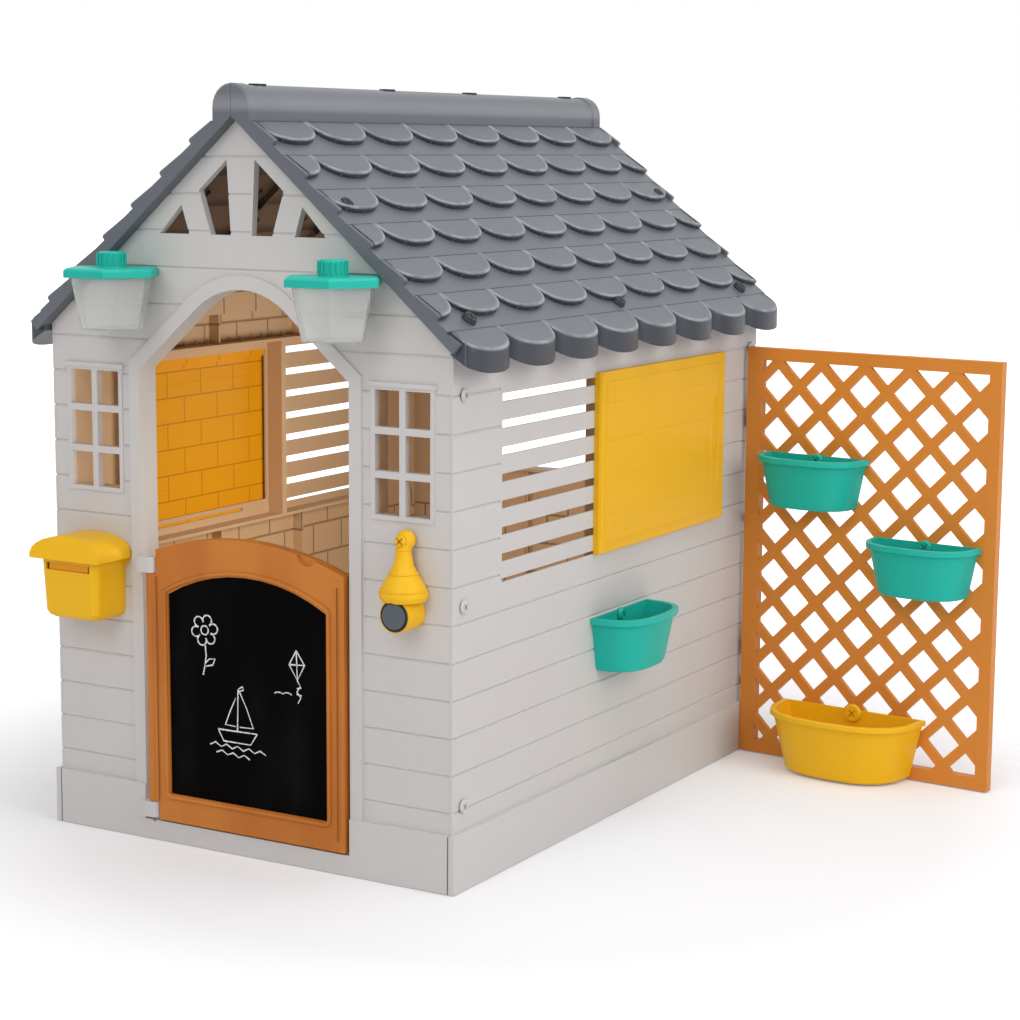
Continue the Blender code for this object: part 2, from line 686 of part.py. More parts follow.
def roof_section(ridge_r):
    """Section of a panel: underside, eave edge, a stepped top and its half of the ridge."""
    centre = APEX_Z + RIDGE_RISE - RIDGE_R - COLLAR
    eave = SIDE_X + EAVE_OUT
    steps = []
    for row in range(TILE_ROWS - 1, 0, -1):
        steps += [slope(seam(row), ROOF_T - TILE_NOTCH), slope(seam(row) - GAP, ROOF_T)]
    edge = slope(ROOF_L, ROOF_T - GAP)
    ridge = arc(0.0, centre, ridge_r, 0, 86, 6)
    return [(GAP, rake_z(GAP)), (eave, rake_z(eave)), edge, *steps,
            (ridge_r, rake_z(ridge_r) + (ROOF_T - TILE_NOTCH) / math.cos(PITCH)),
            *ridge, (GAP, centre + ridge_r)]


def tile_row(row, name):
    """One row of tiles: a scalloped strip that rises towards its tips."""
    width = (ROOF_Y[1] - ROOF_Y[0]) / TILE_COLUMNS
    last = row == TILE_ROWS - 1
    shift = 0.0 if (TILE_ROWS - 1 - row) % 2 == 0 else -0.5
    loop = [(ROOF_Y[1] + width, 0.0), (ROOF_Y[0] - width, 0.0)]
    for j in range(TILE_COLUMNS + (shift != 0.0)):
        middle = ROOF_Y[0] + width * (j + 0.5 + shift)
        for i in range(TILE_ARC):
            turn = math.pi * i / TILE_ARC
            reach = math.copysign(abs(math.cos(turn)) ** 0.85, -math.cos(turn))
            loop.append((middle + width / 2 * reach, GAP + TILE_LENGTH * math.sin(turn) ** 0.85))
    loop += [(middle + width / 2, GAP), (ROOF_Y[1] + width, GAP)]
    loop = clipped_to(loop, (ROOF_Y[0] + TILE_INSET, ROOF_Y[1] - TILE_INSET), (-1.0, 1.0))
    upper = []
    for y, s in loop:
        x, z = slope(seam(row) + s, ROOF_T - GAP + TILE_RISE * s / TILE_LENGTH)
        upper.append(Vector((x, y, z)))
    down = Vector((0, 0, -EAVE_DROP)) if last else Vector(
        (-math.sin(PITCH), 0, -math.cos(PITCH))) * TILE_THICK
    return loft(name, [upper, [point + down for point in upper]])


def roof_panel():
    """The +X panel, built at the right: its mirror image is the same moulding turned round."""
    rings = []
    ends = (0.0, 0.003, COLLAR_W, COLLAR_W + 0.001)
    radii = (RIDGE_R - 0.001, RIDGE_R + COLLAR, RIDGE_R + COLLAR, RIDGE_R)
    stations = [(ROOF_Y[0] + e, r) for e, r in zip(ends, radii)]
    stations += [(ROOF_Y[1] - e, r) for e, r in zip(ends[::-1], radii[::-1])]
    for y, radius in stations:
        rings.append([(x, y, z) for x, z in roof_section(radius)])
    panel = loft("roof_panel", rings)
    for row in range(TILE_ROWS):
        join(panel, tile_row(row, "tile_row"))
    bays = 4
    start = FRONT_Y + WALL_T + RIM
    length = (BACK_Y - WALL_T - RIM - start + RIM) / bays
    end = ROOF_L - ROOF_PAN_MARGIN
    pans = []
    for i in range(bays):
        y = start + length * i
        ring = [slope(RIDGE_R, -ROOF_PAN), slope(end, -ROOF_PAN), slope(end, ROOF_PAN),
                slope(RIDGE_R, ROOF_PAN)]
        pans.append(loft("pan", [[(x, y, z) for x, z in ring],
                                 [(x, y + length - RIM, z) for x, z in ring]]))
    return cut(panel, copies("roof_pans", pans))


# --- Door -------------------------------------------------------------------------------------
def arched(left, right, bottom, shoulder, apex, middle=0.0, steps=12):
    """An outline with a flat foot and an arc over it. The shoulder is the right one's height."""
    half = right - middle
    rise = apex - shoulder
    radius = (half**2 + rise**2) / (2 * rise)
    centre = apex - radius
    angles = [math.degrees(math.acos((x - middle) / radius)) for x in (right, left)]
    return [(left, bottom), (right, bottom),
            *arc(middle, centre, radius, angles[0], angles[1], steps)]


def door_outline(inward):
    right = DOORWAY_W / 2 - DOOR_GAP - inward
    return arched(HINGE_X + inward, right, DOOR_BOTTOM + inward, DOOR_SHOULDER - inward,
                  DOOR_APEX - inward)


def board_outline(outward):
    middle = (BOARD_X[0] + BOARD_X[1]) / 2
    return arched(BOARD_X[0] - outward, BOARD_X[1] + outward, BOARD_Z[0] - outward,
                  BOARD_Z[1] + outward, BOARD_APEX + outward, middle, 10)


def door_frame():
    back = DOOR_FACE_Y + DOOR_T
    frame = flat("door_frame", [door_outline(0.0), board_outline(0.0)], "Y", DOOR_FACE_Y, back)
    cut(frame, flat("rebate", [board_outline(BOARD_LIP)], "Y", DOOR_FACE_Y + LIP_T, back + 0.01))
    cut(frame, flat("frame_hollow", [door_outline(BARREL_R), board_outline(BOARD_LIP + 0.004)],
                    "Y", DOOR_FACE_Y + DOOR_T * 0.5, back + 0.01))
    foot = lower_lug_z() + LUG_H + FIT
    head = LUG_TOP_Z - FIT
    reach = HINGE_X + LUG_R + 2 * FIT
    for low, high in ((DOOR_BOTTOM - 0.01, foot), (head, DOOR_APEX)):
        cut(frame, box("notch", (HINGE_X - 0.02, DOOR_FACE_Y - 0.01, low),
                       (reach, back + 0.01, high)))
    join(frame, rod("barrel", (HINGE_X, HINGE_Y, foot), (HINGE_X, HINGE_Y, head), BARREL_R, 14))
    for low, high in ((foot - 0.01, foot + LUG_H), (head - LUG_H, head + 0.01)):
        cut(frame, rod("pin_bore", (HINGE_X, HINGE_Y, low), (HINGE_X, HINGE_Y, high),
                       PIN_BORE, PIN_SIDES))
    inward, z, radius = SCOOP
    x = JAMB_X - DOOR_GAP - inward
    cut(frame, rod("scoop", (x, DOOR_FACE_Y - 0.01, z), (x, DOOR_FACE_Y + SCOOP_DEEP, z),
                   radius, 14))
    return frame


def door_pin(z, into):
    """A pin through one lug that reaches into the door's barrel."""
    low = z - (LUG_H * 0.8 if into < 0 else 0.0)
    high = z + LUG_H + (0.0 if into < 0 else LUG_H * 0.8)
    return rod("door_pin", (HINGE_X, HINGE_Y, low), (HINGE_X, HINGE_Y, high), PIN_R, PIN_SIDES)


# --- Shutter ----------------------------------------------------------------------------------
def shutter():
    """A shallow tray outside the +X wall with four hooks that run behind its skin."""
    near = SIDE_X + GAP
    far = near + SHUTTER_T
    tray = box("shutter", (near, SHUTTER_Y[0], SHUTTER_Z[0]), (far, SHUTTER_Y[1], SHUTTER_Z[1]))
    edge = SHUTTER_SHELL
    cut(tray, box("tray_hollow", (near - 0.01, SHUTTER_Y[0] + 2 * edge, SHUTTER_Z[0] + HOOK_LAP),
                  (far - edge, SHUTTER_Y[1] - edge, SHUTTER_Z[1] - 2 * HOOK_LAP)))
    join(tray, rod("pull_bead", (far - 0.001, SHUTTER_Y[0] + 0.008, SHUTTER_Z[0] + edge),
                   (far - 0.001, SHUTTER_Y[0] + 0.008, SHUTTER_Z[1] - edge), 0.006, 8))
    cut(tray, box("finger_groove", (far - edge / 2, SHUTTER_Y[1] - 0.045, 0.62),
                  (far + 0.01, SHUTTER_Y[1] - 0.035, 0.75)))
    behind = SIDE_X - SKIN - GAP * 2
    for y in HOOK_Y:
        neck_low = SLOT_TOP - SLOT_H + FIT
        join(tray, box("neck", (behind - HOOK_T, y, neck_low),
                       (near + edge, y + HOOK_L, SLOT_TOP - FIT)))
        join(tray, box("lip", (behind - HOOK_T * 0.999, y + GAP, neck_low + GAP),
                       (behind, y + HOOK_L - GAP, SLOT_TOP + HOOK_LAP)))
        foot_top = GUIDE_Z + GUIDE_H - FIT
        join(tray, box("neck", (behind - HOOK_T, y, GUIDE_Z + FIT),
                       (near + edge, y + HOOK_L, foot_top)))
        join(tray, box("lip", (behind - HOOK_T * 0.999, y + GAP, GUIDE_Z - HOOK_LAP),
                       (behind, y + HOOK_L - GAP, foot_top - GAP)))
    return tray


# --- Mailbox ----------------------------------------------------------------------------------
def rounded_front(x, y_back, y_front, radius, grow=0.0):
    """A plan with square back corners and rounded front ones."""
    low, high, front = x[0] - grow, x[1] + grow, y_front - grow
    return [(low, y_back), *arc(low + radius, front + radius, radius, 180, 270, 4),
            *arc(high - radius, front + radius, radius, 270, 360, 4), (high, y_back)]


def mailbox_body():
    back = FRONT_Y - GAP
    front = back - BOX_D
    rings = []
    for z, grow in ((BOX_Z[0], -0.014), (BOX_Z[0] + 0.004, -0.008), (BOX_Z[0] + 0.012, -0.004),
                    (BOX_Z[1], 0.0)):
        plan = rounded_front(BOX_X, back, front, BOX_CORNER, grow)
        rings.append([(x, y, z) for x, y in plan])
    body = loft("mailbox_body", rings)
    inside = []
    for z, grow in ((BOX_Z[0] + 0.008, -0.010 - BOX_WALL), (BOX_Z[1] + 0.01, -BOX_WALL)):
        plan = rounded_front(BOX_X, back - BOX_WALL, front, BOX_CORNER, grow)
        inside.append([(x, y, z) for x, y in plan])
    plate = flat("back_plate", [lid_arch(-BOX_WALL - 2 * GAP, BOX_Z[1] - 0.02)], "Y",
                 back - BOX_WALL + GAP, back)
    join(body, plate)
    cut(body, loft("mailbox_inside", inside))
    x0 = (BOX_X[0] + BOX_X[1] - SLOT_W) / 2
    cut(body, box("letter_slot", (x0, front - 0.01, SLOT_Z[0]),
                  (x0 + SLOT_W, front + 3 * BOX_WALL, SLOT_Z[1])))
    return body


def lid_arch(grow, bottom):
    """The lid's half-oval outline over the mailbox, let out or drawn in."""
    middle = (BOX_X[0] + BOX_X[1]) / 2
    half = (BOX_X[1] - BOX_X[0]) / 2 + LID_OVER + grow
    spring = BOX_Z[1] + GAP
    crown = [(middle + half * math.cos(t), spring + (LID_ARCH + grow) * math.sin(t) ** 0.9)
             for t in (math.pi * i / 12 for i in range(13))]
    return [(middle - half, bottom), (middle + half, bottom), *crown]


def mailbox_lid():
    back = FRONT_Y - 2 * GAP - BOX_WALL
    front = FRONT_Y - BOX_D - LID_OVER
    spring = BOX_Z[1] + GAP

    def section(y, rake, grow, bottom):
        return [(x, y + rake * max(0.0, z - spring) / LID_ARCH, z)
                for x, z in lid_arch(grow, bottom)]

    foot = BOX_Z[1] - LID_SKIRT
    lid = loft("mailbox_lid", [section(back + BOX_WALL, 0.0, 0.0, foot),
                               section(front, LID_RAKE, 0.0, foot)])
    hollow = loft("lid_hollow", [section(back + 0.02, 0.0, -BOX_WALL, foot - 0.01),
                                 section(front + BOX_WALL, LID_RAKE, -BOX_WALL, foot - 0.01)])
    return cut(lid, hollow)


# --- Doorbell ---------------------------------------------------------------------------------
def bell_body():
    """A bell-shaped cover over a drum that holds the button."""
    wall = FRONT_Y - GAP
    cover = turned("bell_cover", BELL_CONE, 14)
    cover.location = (BELL_X, BELL_Y, 0.0)
    y, z, radius = BELL_BALL
    work = bmesh.new()
    bmesh.ops.create_uvsphere(work, u_segments=10, v_segments=5, radius=radius,
                              matrix=Matrix.Translation((BELL_X, y, z)))
    ball = from_bmesh("bell_ball", work)
    face = wall - BELL_DRUM_D
    drum = rod("bell_drum", (BELL_X, wall + 0.01, BELL_Z), (BELL_X, face, BELL_Z), BELL_DRUM_R, 18)
    body = join(drum, cover, ball)
    cut(body, box("wall_plane", (BELL_X - 0.1, wall, BELL_Z - 0.1),
                  (BELL_X + 0.1, wall + 0.05, BELL_Z + 0.2)))
    deep = BUTTON_T - BUTTON_OUT + BUTTON_TRAVEL
    cut(body, rod("button_well", (BELL_X, face - 0.02, BELL_Z),
                  (BELL_X, face + deep + GAP, BELL_Z), BUTTON_R + FIT, 16))
    cut(body, rod("stem_bore", (BELL_X, face, BELL_Z), (BELL_X, wall + 0.02, BELL_Z),
                  SHANK_R + GAP))
    return body


def bell_button():
    face = FRONT_Y - GAP - BELL_DRUM_D
    button = rod("bell_button", (BELL_X, face - BUTTON_OUT, BELL_Z),
                 (BELL_X, face - BUTTON_OUT + BUTTON_T, BELL_Z), BUTTON_R, 16)
    stem = rod("stem", (BELL_X, face, BELL_Z), (BELL_X, face + BELL_DRUM_D * 0.7, BELL_Z), SHANK_R)
    return join(button, stem)


# --- Lanterns ---------------------------------------------------------------------------------
def hexagon(side, x):
    """A hexagon in plan with a face to the front."""
    return arc(x, LANTERN_Y, side, 0, 300, 5)


def lantern_cup(x):
    bottom, top = LANTERN_Z
    outer = [(bottom, CUP_HEX[0]), (top, CUP_HEX[1])]
    wall = CUP_WALL
    cup = loft("lantern_cup", [[(u, v, z) for u, v in hexagon(s, x)] for z, s in outer])
    pad_top = top - LANTERN_LAP - 4 * FIT
    wide, high = LANTERN_PAD
    join(cup, box("pad", (x - wide / 2, LANTERN_Y + CUP_HEX[0] * 0.8, pad_top - high),
                  (x + wide / 2, FRONT_Y - GAP, pad_top)))
    lean = (CUP_HEX[1] - CUP_HEX[0]) / (top - bottom)
    inner = [(bottom + wall, CUP_HEX[0] - wall * 1.2),
             (top + 0.01, CUP_HEX[1] - wall * 1.2 + lean * 0.01)]
    return cut(cup, loft("cup_inside", [[(u, v, z) for u, v in hexagon(s, x)]
                                        for z, s in inner]))


def lantern_lid(x):
    seat = LANTERN_Z[1] + GAP
    foot = seat - LANTERN_LAP
    top = foot + LANTERN_LID_H
    rings = [(foot, LANTERN_LID), (top - 0.004, LANTERN_LID), (top, LANTERN_LID - 0.005)]
    back = LANTERN_Y + LANTERN_BACK
    lid = loft("lantern_lid", [[(u, v, z) for u, v in clipped(hexagon(s, x), 1, back, False)]
                               for z, s in rings])
    under = hexagon(CUP_HEX[1] + FIT, x)
    cut(lid, loft("lid_under", [[(u, v, foot - 0.01) for u, v in under],
                                [(u, v, seat) for u, v in under]]))
    knob = turned("knob", [(0.0, top + KNOB_H), (KNOB_R - 0.004, top + KNOB_H),
                           (KNOB_R - 0.001, top + KNOB_H - 0.004), (KNOB_R, top - 0.003),
                           (0.0, top - 0.003)], 14)
    knob.location = (x, LANTERN_Y, 0.0)
    return join(lid, knob)


# --- Planters ---------------------------------------------------------------------------------
def half_oval(width, depth):
    """A D-shaped plan: flat at the back (v = 0), bulging to the front (-v)."""
    points = []
    for i in range(POT_ARC + 1):
        turn = math.pi * i / POT_ARC
        u = -math.copysign(abs(math.cos(turn)) ** 0.72, math.cos(turn)) * width / 2
        points.append((u, -depth * math.sin(turn) ** 0.72))
    return points


def planter(name, size):
    """An open pot whose back is in the plane v = 0, standing on its own z = 0."""
    width, depth, height = size
    wall = POT_WALL

    def ring(z, scale, grow, back):
        plan = half_oval(width * scale - 2 * POT_RIM + 2 * grow,
                         depth * scale - POT_RIM + grow + back)
        return [(u, v + back, z) for u, v in plan]

    under = height - POT_LIP
    rings = [ring(0.0, POT_TAPER - 0.04, 0.0, 0.0), ring(POT_FOOT, POT_TAPER, 0.0, 0.0),
             ring(under, 1.0, 0.0, 0.0), ring(under + GAP, 1.0, POT_RIM, 0.0),
             ring(height, 1.0, POT_RIM, 0.0), ring(height, 1.0, -wall, -wall),
             ring(wall, POT_TAPER - 0.04, -wall, -wall)]
    return loft(name, rings)


# --- Trellis, in its own frame: origin on the hinge axis, panel along +X ----------------------
def trellis():
    left = -TRELLIS_EDGE
    right = left + TRELLIS_W
    low, high = TRELLIS_FACE, TRELLIS_FACE + TRELLIS_T
    hole_u = (left + STILES[0], right - STILES[1])
    hole_v = (TRELLIS_Z[0] + RAIL, TRELLIS_Z[1] - RAIL)
    frame = flat("trellis", [rectangle((left, right), TRELLIS_Z), rectangle(hole_u, hole_v)],
                 "Y", low, high)
    lattice = [rectangle(hole_u, hole_v, RIM)]
    reach = LATTICE_PITCH / 2 - STRIP / math.sqrt(2)
    across = int(TRELLIS_W / LATTICE_PITCH) + 2
    up = int((TRELLIS_Z[1] - TRELLIS_Z[0]) / LATTICE_PITCH) + 2
    for i in range(2 * across):
        for j in range(up):
            u = left + LATTICE_PHASE[0] + LATTICE_PITCH * i / 2
            v = LATTICE_PHASE[1] + LATTICE_PITCH * (j + 0.5 * (i % 2))
            diamond = [(u - reach, v), (u, v - reach), (u + reach, v), (u, v + reach)]
            hole = clipped_to(diamond, (hole_u[0] - FIT, hole_u[1] + FIT),
                              (hole_v[0] - FIT, hole_v[1] + FIT))
            if len(hole) > 2 and area(hole) > 1.5e-4:
                lattice.append(hole)
    join(frame, flat("lattice", lattice, "Y", low + 2 * GAP, low + LATTICE_T))
    for z in TRELLIS_LUG_Z:
        loop = [(-BARREL_R, high - RIM / 2), (BARREL_R, high - RIM / 2),
                *arc(0.0, 0.0, BARREL_R, 0, 180, 8)]
        join(frame, flat("trellis_lug", [loop], "Z", z, z + LUG_H))
        cut(frame, rod("lug_bore", (0, 0, z - 0.01), (0, 0, z + LUG_H + 0.01), PIN_BORE,
                       PIN_SIDES))
    return frame


def area(loop):
    return abs(sum(a[0] * b[1] - b[0] * a[1] for a, b in zip(loop, loop[1:] + loop[:1]))) / 2


def nearest_crossing(u, v):
    """Where two strips of the lattice cross, nearest to a point."""
    left = LATTICE_PHASE[0] - TRELLIS_EDGE
    found = []
    for i in range(2 * int(TRELLIS_W / LATTICE_PITCH)):
        for j in range(int(TRELLIS_Z[1] / LATTICE_PITCH)):
            found.append((left + LATTICE_PITCH * i / 2,
                          LATTICE_PHASE[1] + LATTICE_PITCH * (j + 0.5 * ((i + 1) % 2))))
    return min(found, key=lambda at: math.dist(at, (u, v)))


def trellis_knuckle(z):
    """The side wall's eye under a trellis lug, with its pin's bore."""
    x, y = TRELLIS_AXIS
    loop = [(SIDE_X - SKIN / 2, y + BARREL_R), (SIDE_X - SKIN / 2, y - BARREL_R),
            *arc(x, y, BARREL_R, -90, 90, 8)]
    return flat("knuckle", [loop], "Z", z - LUG_H - FIT, z - FIT)


# --- Bolts ------------------------------------------------------------------------------------
def bolt(at, way, length):
    """A bolt whose head rests on a face, pointing along way, and the cutter for its bore."""
    start, way = Vector(at), Vector(way).normalized()
    profile = [(0.0, 0.0), (SHANK_R, 0.0), (SHANK_R, length), (HEAD_R, length),
               (HEAD_R * 0.8, length + HEAD_H), (0.0, length + HEAD_H)]
    made = turned("bolt", profile[::-1], BOLT_SIDES)
    made.matrix_basis = (Matrix.Translation(start)
                         @ (-way).to_track_quat("Z", "Y").to_matrix().to_4x4()
                         @ Matrix.Translation((0, 0, GAP - length)))
    return made, rod("bore", start - way * 0.004, start + way * (length + 0.004),
                     SHANK_R + BORE_FIT)


# --- The pieces -------------------------------------------------------------------------------
front = front_wall()
back = back_wall()
right_wall = side_wall()
for z in TRELLIS_LUG_Z:
    join(right_wall, trellis_knuckle(z))
    x, y = TRELLIS_AXIS
    cut(right_wall, rod("knuckle_bore", (x, y, z - LUG_H * 1.5), (x, y, z + 0.01), PIN_BORE,
                        PIN_SIDES))
left_wall = moved(side_wall(), HALF_TURN)
right_roof = roof_panel()
left_roof = moved(roof_panel(), HALF_TURN)

door = door_frame()
board = flat("chalkboard", [board_outline(BOARD_LIP - GAP * 2)], "Y",
             DOOR_FACE_Y + LIP_T + GAP, DOOR_FACE_Y + LIP_T + GAP + BOARD_T)
axis = (HINGE_X, HINGE_Y, (DOOR_BOTTOM + DOOR_SHOULDER) / 2)
finish(door, "door_frame", ORANGE, axis)
finish(board, "chalkboard", BLACK)
finish(door_pin(LUG_TOP_Z, -1), "door_pin_upper", WHITE, axis)
finish(door_pin(lower_lug_z(), 1), "door_pin_lower", WHITE, axis)

middle = (SIDE_X, (SHUTTER_Y[0] + SHUTTER_Y[1]) / 2, (SHUTTER_Z[0] + SHUTTER_Z[1]) / 2)
finish(shutter(), "shutter_right", YELLOW, middle)
finish(moved(shutter(), HALF_TURN), "shutter_left", YELLOW)

middle = ((BOX_X[0] + BOX_X[1]) / 2, FRONT_Y - BOX_D / 2, BOX_Z[1])
finish(mailbox_body(), "mailbox_body", YELLOW, middle)
finish(mailbox_lid(), "mailbox_lid", YELLOW, middle)

bell = bell_body()
y, z, radius = BELL_BALL
seat_y = y - radius * 0.8
cut(bell, rod("screw_flat", (BELL_X, seat_y - radius, z), (BELL_X, seat_y, z), BELL_SCREW_R, 12))
screw, bore = bolt((BELL_X, seat_y, z), (0, 1, 0), FRONT_Y - seat_y + SKIN * 3)
cut(bell, bore)
cut(front, bore)
finish(bell, "bell_body", YELLOW)
finish(screw, "bell_screw", YELLOW)
finish(bell_button(), "bell_button", GREY, (BELL_X, FRONT_Y - GAP - BELL_DRUM_D, BELL_Z))

for x, name in zip(LANTERN_X, ("left", "right")):
    foot = (x, LANTERN_Y, LANTERN_Z[1])
    finish(lantern_cup(x), "lantern_cup_" + name, CLEAR, foot)
    finish(lantern_lid(x), "lantern_lid_" + name, TEAL, foot)

panel = moved(trellis(), TRELLIS_PLACE)
for z, name in zip(TRELLIS_LUG_Z, ("lower", "upper")):
    x, y = TRELLIS_AXIS
    pin = rod("trellis_pin", (x, y, z - LUG_H), (x, y, z + LUG_H), PIN_R, PIN_SIDES)
    finish(pin, "trellis_pin_" + name, WHITE, (x, y, z))

back_of_pot = POT_WALL + GAP
y, z = WALL_POT
pot = moved(planter("planter", POT), Matrix.Translation((SIDE_X + GAP, y, z))
            @ Matrix.Rotation(math.pi / 2, 4, "Z"))
start = (SIDE_X + back_of_pot, y, z + POT[2] * 0.6)
screw, bore = bolt(start, (-1, 0, 0), POT_WALL + SKIN * 3)
cut(pot, bore)
cut(right_wall, bore)
finish(pot, "planter_wall", TEAL)
finish(screw, "planter_screw_wall", TEAL)
for name, size, look, (along, z) in (("upper", POT, TEAL, TRELLIS_POTS[0]),
                                     ("lower", POT, TEAL, TRELLIS_POTS[1]),
                                     ("large", BIG_POT, YELLOW, BIG_POT_AT)):
    u = along - TRELLIS_EDGE
    pot = moved(planter("planter", size), TRELLIS_PLACE
                @ Matrix.Translation((u, TRELLIS_FACE - GAP, z)))
    u, v = nearest_crossing(u, z + size[2] * 0.6)
    start = TRELLIS_PLACE @ Vector((u, TRELLIS_FACE - back_of_pot, v))
    way = TRELLIS_PLACE.to_3x3() @ Vector((0, 1, 0))
    screw, bore = bolt(start, way, POT_WALL + LATTICE_T + SKIN)
    cut(pot, bore)
    cut(panel, bore)
    finish(pot, "planter_" + name, look)
    finish(screw, "planter_screw_" + name, look)
finish(panel, "trellis", ORANGE)

count = 0
for side, wall in ((1, right_wall), (-1, left_wall)):
    for end, y in ((front, CORNER_BOLT_Y), (back, 2 * MIDDLE_Y - CORNER_BOLT_Y)):
        for z in CORNER_BOLT_Z:
            count += 1
            made, bore = bolt((side * SIDE_X, y, z), (-side, 0, 0), SKIN + RIM * 2)
            cut(wall, bore)
            cut(end, bore)
            finish(made, f"corner_bolt_{count:02d}", WHITE)

count = 0
for side, wall, roof in ((1, right_wall, right_roof), (-1, left_wall, left_roof)):
    for lower, share in ROOF_BOLTS:
        count += 1
        y = FRONT_Y + WALL_T / 2 + (HOUSE_D - WALL_T) * share
        x, z = slope(ROOF_L - BOLTS_DOWN[1] if lower else BOLTS_DOWN[0], ROOF_T)
        way = Vector((-side * math.sin(PITCH), 0, -math.cos(PITCH)))
        at = Vector((side * x, y, z))
        made, bore = bolt(at, way, ROOF_T + RIM * 2)
        cut(roof, rod("bolt_seat", at - way * GAP / 2, at - way * 0.03, HEAD_R + FIT, 12), bore)
        cut({0.0: front, 1.0: back}.get(share, wall), bore)
        finish(made, f"roof_bolt_{count:02d}", GREY)

finish(front, "front_wall", WHITE)
finish(back, "back_wall", WHITE)
finish(right_wall, "side_wall_right", WHITE)
finish(left_wall, "side_wall_left", WHITE)
finish(right_roof, "roof_right", SLATE)
finish(left_roof, "roof_left", SLATE)
CUTTERS.hide_render = True
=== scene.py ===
"""Looks for a child's plastic playhouse, moulded in white, slate, orange, yellow and teal."""

import math

import bmesh
import bpy
from mathutils import Matrix, Vector


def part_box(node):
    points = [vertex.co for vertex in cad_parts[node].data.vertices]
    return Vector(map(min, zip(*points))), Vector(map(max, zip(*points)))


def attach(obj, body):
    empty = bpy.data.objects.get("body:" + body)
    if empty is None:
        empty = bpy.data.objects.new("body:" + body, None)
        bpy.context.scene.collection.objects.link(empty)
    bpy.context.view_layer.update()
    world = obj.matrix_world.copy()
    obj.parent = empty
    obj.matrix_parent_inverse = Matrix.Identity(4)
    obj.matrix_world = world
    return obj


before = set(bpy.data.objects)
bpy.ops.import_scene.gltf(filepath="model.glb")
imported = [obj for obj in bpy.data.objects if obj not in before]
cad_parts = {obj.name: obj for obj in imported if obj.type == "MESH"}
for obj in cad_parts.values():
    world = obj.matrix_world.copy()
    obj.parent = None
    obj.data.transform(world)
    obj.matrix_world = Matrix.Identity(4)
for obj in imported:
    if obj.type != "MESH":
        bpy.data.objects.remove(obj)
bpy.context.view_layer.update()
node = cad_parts

# --- Camera -----------------------------------------------------------------------------------
# A short telephoto at a standing child's height, in front of the house and to its right. The
# photograph's frame is square.
camera = bpy.data.objects.new("camera", bpy.data.cameras.new("camera"))
bpy.context.scene.collection.objects.link(camera)
bpy.context.scene.camera = camera
bpy.context.scene.view_settings.view_transform = "Standard"
camera.data.sensor_width = 36.0
camera.data.lens = 82.87
camera.data.clip_end = 50.0
yaw, pitch, ridge_highlight_band = math.radians(30.166), math.radians(8.848), math.radians(0.383)
camera.matrix_world = (Matrix.Translation((2.3936, -3.2310, 1.2357))
                       @ Matrix.Rotation(yaw, 4, "Z")
                       @ Matrix.Rotation(math.pi / 2 - pitch, 4, "X")
                       @ Matrix.Rotation(ridge_highlight_band, 4, "Z"))

# --- Studio: floor and light ------------------------------------------------------------------
# A white sweep that is plain white to the camera and keeps the house's soft shadow, softboxes
# high in front, at the side and overhead, a small warm lamp inside the house, and an even white
# surround. The sweep is whitened more and more with the distance from the house.
floor_mesh = bmesh.new()
bmesh.ops.create_grid(floor_mesh, x_segments=1, y_segments=1, size=30.0)
floor = bpy.data.objects.new("studio_floor", bpy.data.meshes.new("studio_floor"))
floor_mesh.to_mesh(floor.data)
floor_mesh.free()
floor.location.z = -0.0008
bpy.context.scene.collection.objects.link(floor)


def seen_directly(tree):
    """One where the camera, a mirror or a clear piece looks, nought for light that falls."""
    ray = tree.nodes.new("ShaderNodeLightPath")
    value = ray.outputs["Is Camera Ray"]
    for name in ("Is Glossy Ray", "Is Transmission Ray"):
        either = tree.nodes.new("ShaderNodeMath")
        either.operation = "MAXIMUM"
        tree.links.new(value, either.inputs[0])
        tree.links.new(ray.outputs[name], either.inputs[1])
        value = either.outputs[0]
    return value


paper = bpy.data.materials.new("studio_paper")
paper.use_nodes = True
tree = paper.node_tree
shader = tree.nodes["Principled BSDF"]
shader.inputs["Base Color"].default_value = (0.80, 0.79, 0.80, 1.0)
shader.inputs["Roughness"].default_value = 0.9
shader.inputs["Specular IOR Level"].default_value = 0.1
shader.inputs["Emission Color"].default_value = (1.0, 1.0, 1.0, 1.0)
spread = tree.nodes.new("ShaderNodeTexCoord")
reach = tree.nodes.new("ShaderNodeVectorMath")
reach.operation = "DISTANCE"
reach.inputs[1].default_value = (0.25, 0.45, 0.0)
tree.links.new(spread.outputs["Object"], reach.inputs[0])
away = tree.nodes.new("ShaderNodeMapRange")
away.inputs["From Min"].default_value = 0.8
away.inputs["From Max"].default_value = 2.6
away.inputs["To Min"].default_value = 0.12
away.inputs["To Max"].default_value = 0.95
tree.links.new(reach.outputs["Value"], away.inputs["Value"])
paper_white = tree.nodes.new("ShaderNodeMath")
paper_white.operation = "MULTIPLY"
tree.links.new(seen_directly(tree), paper_white.inputs[0])
tree.links.new(away.outputs["Result"], paper_white.inputs[1])
tree.links.new(paper_white.outputs[0], shader.inputs["Emission Strength"])
floor.data.materials.append(paper)

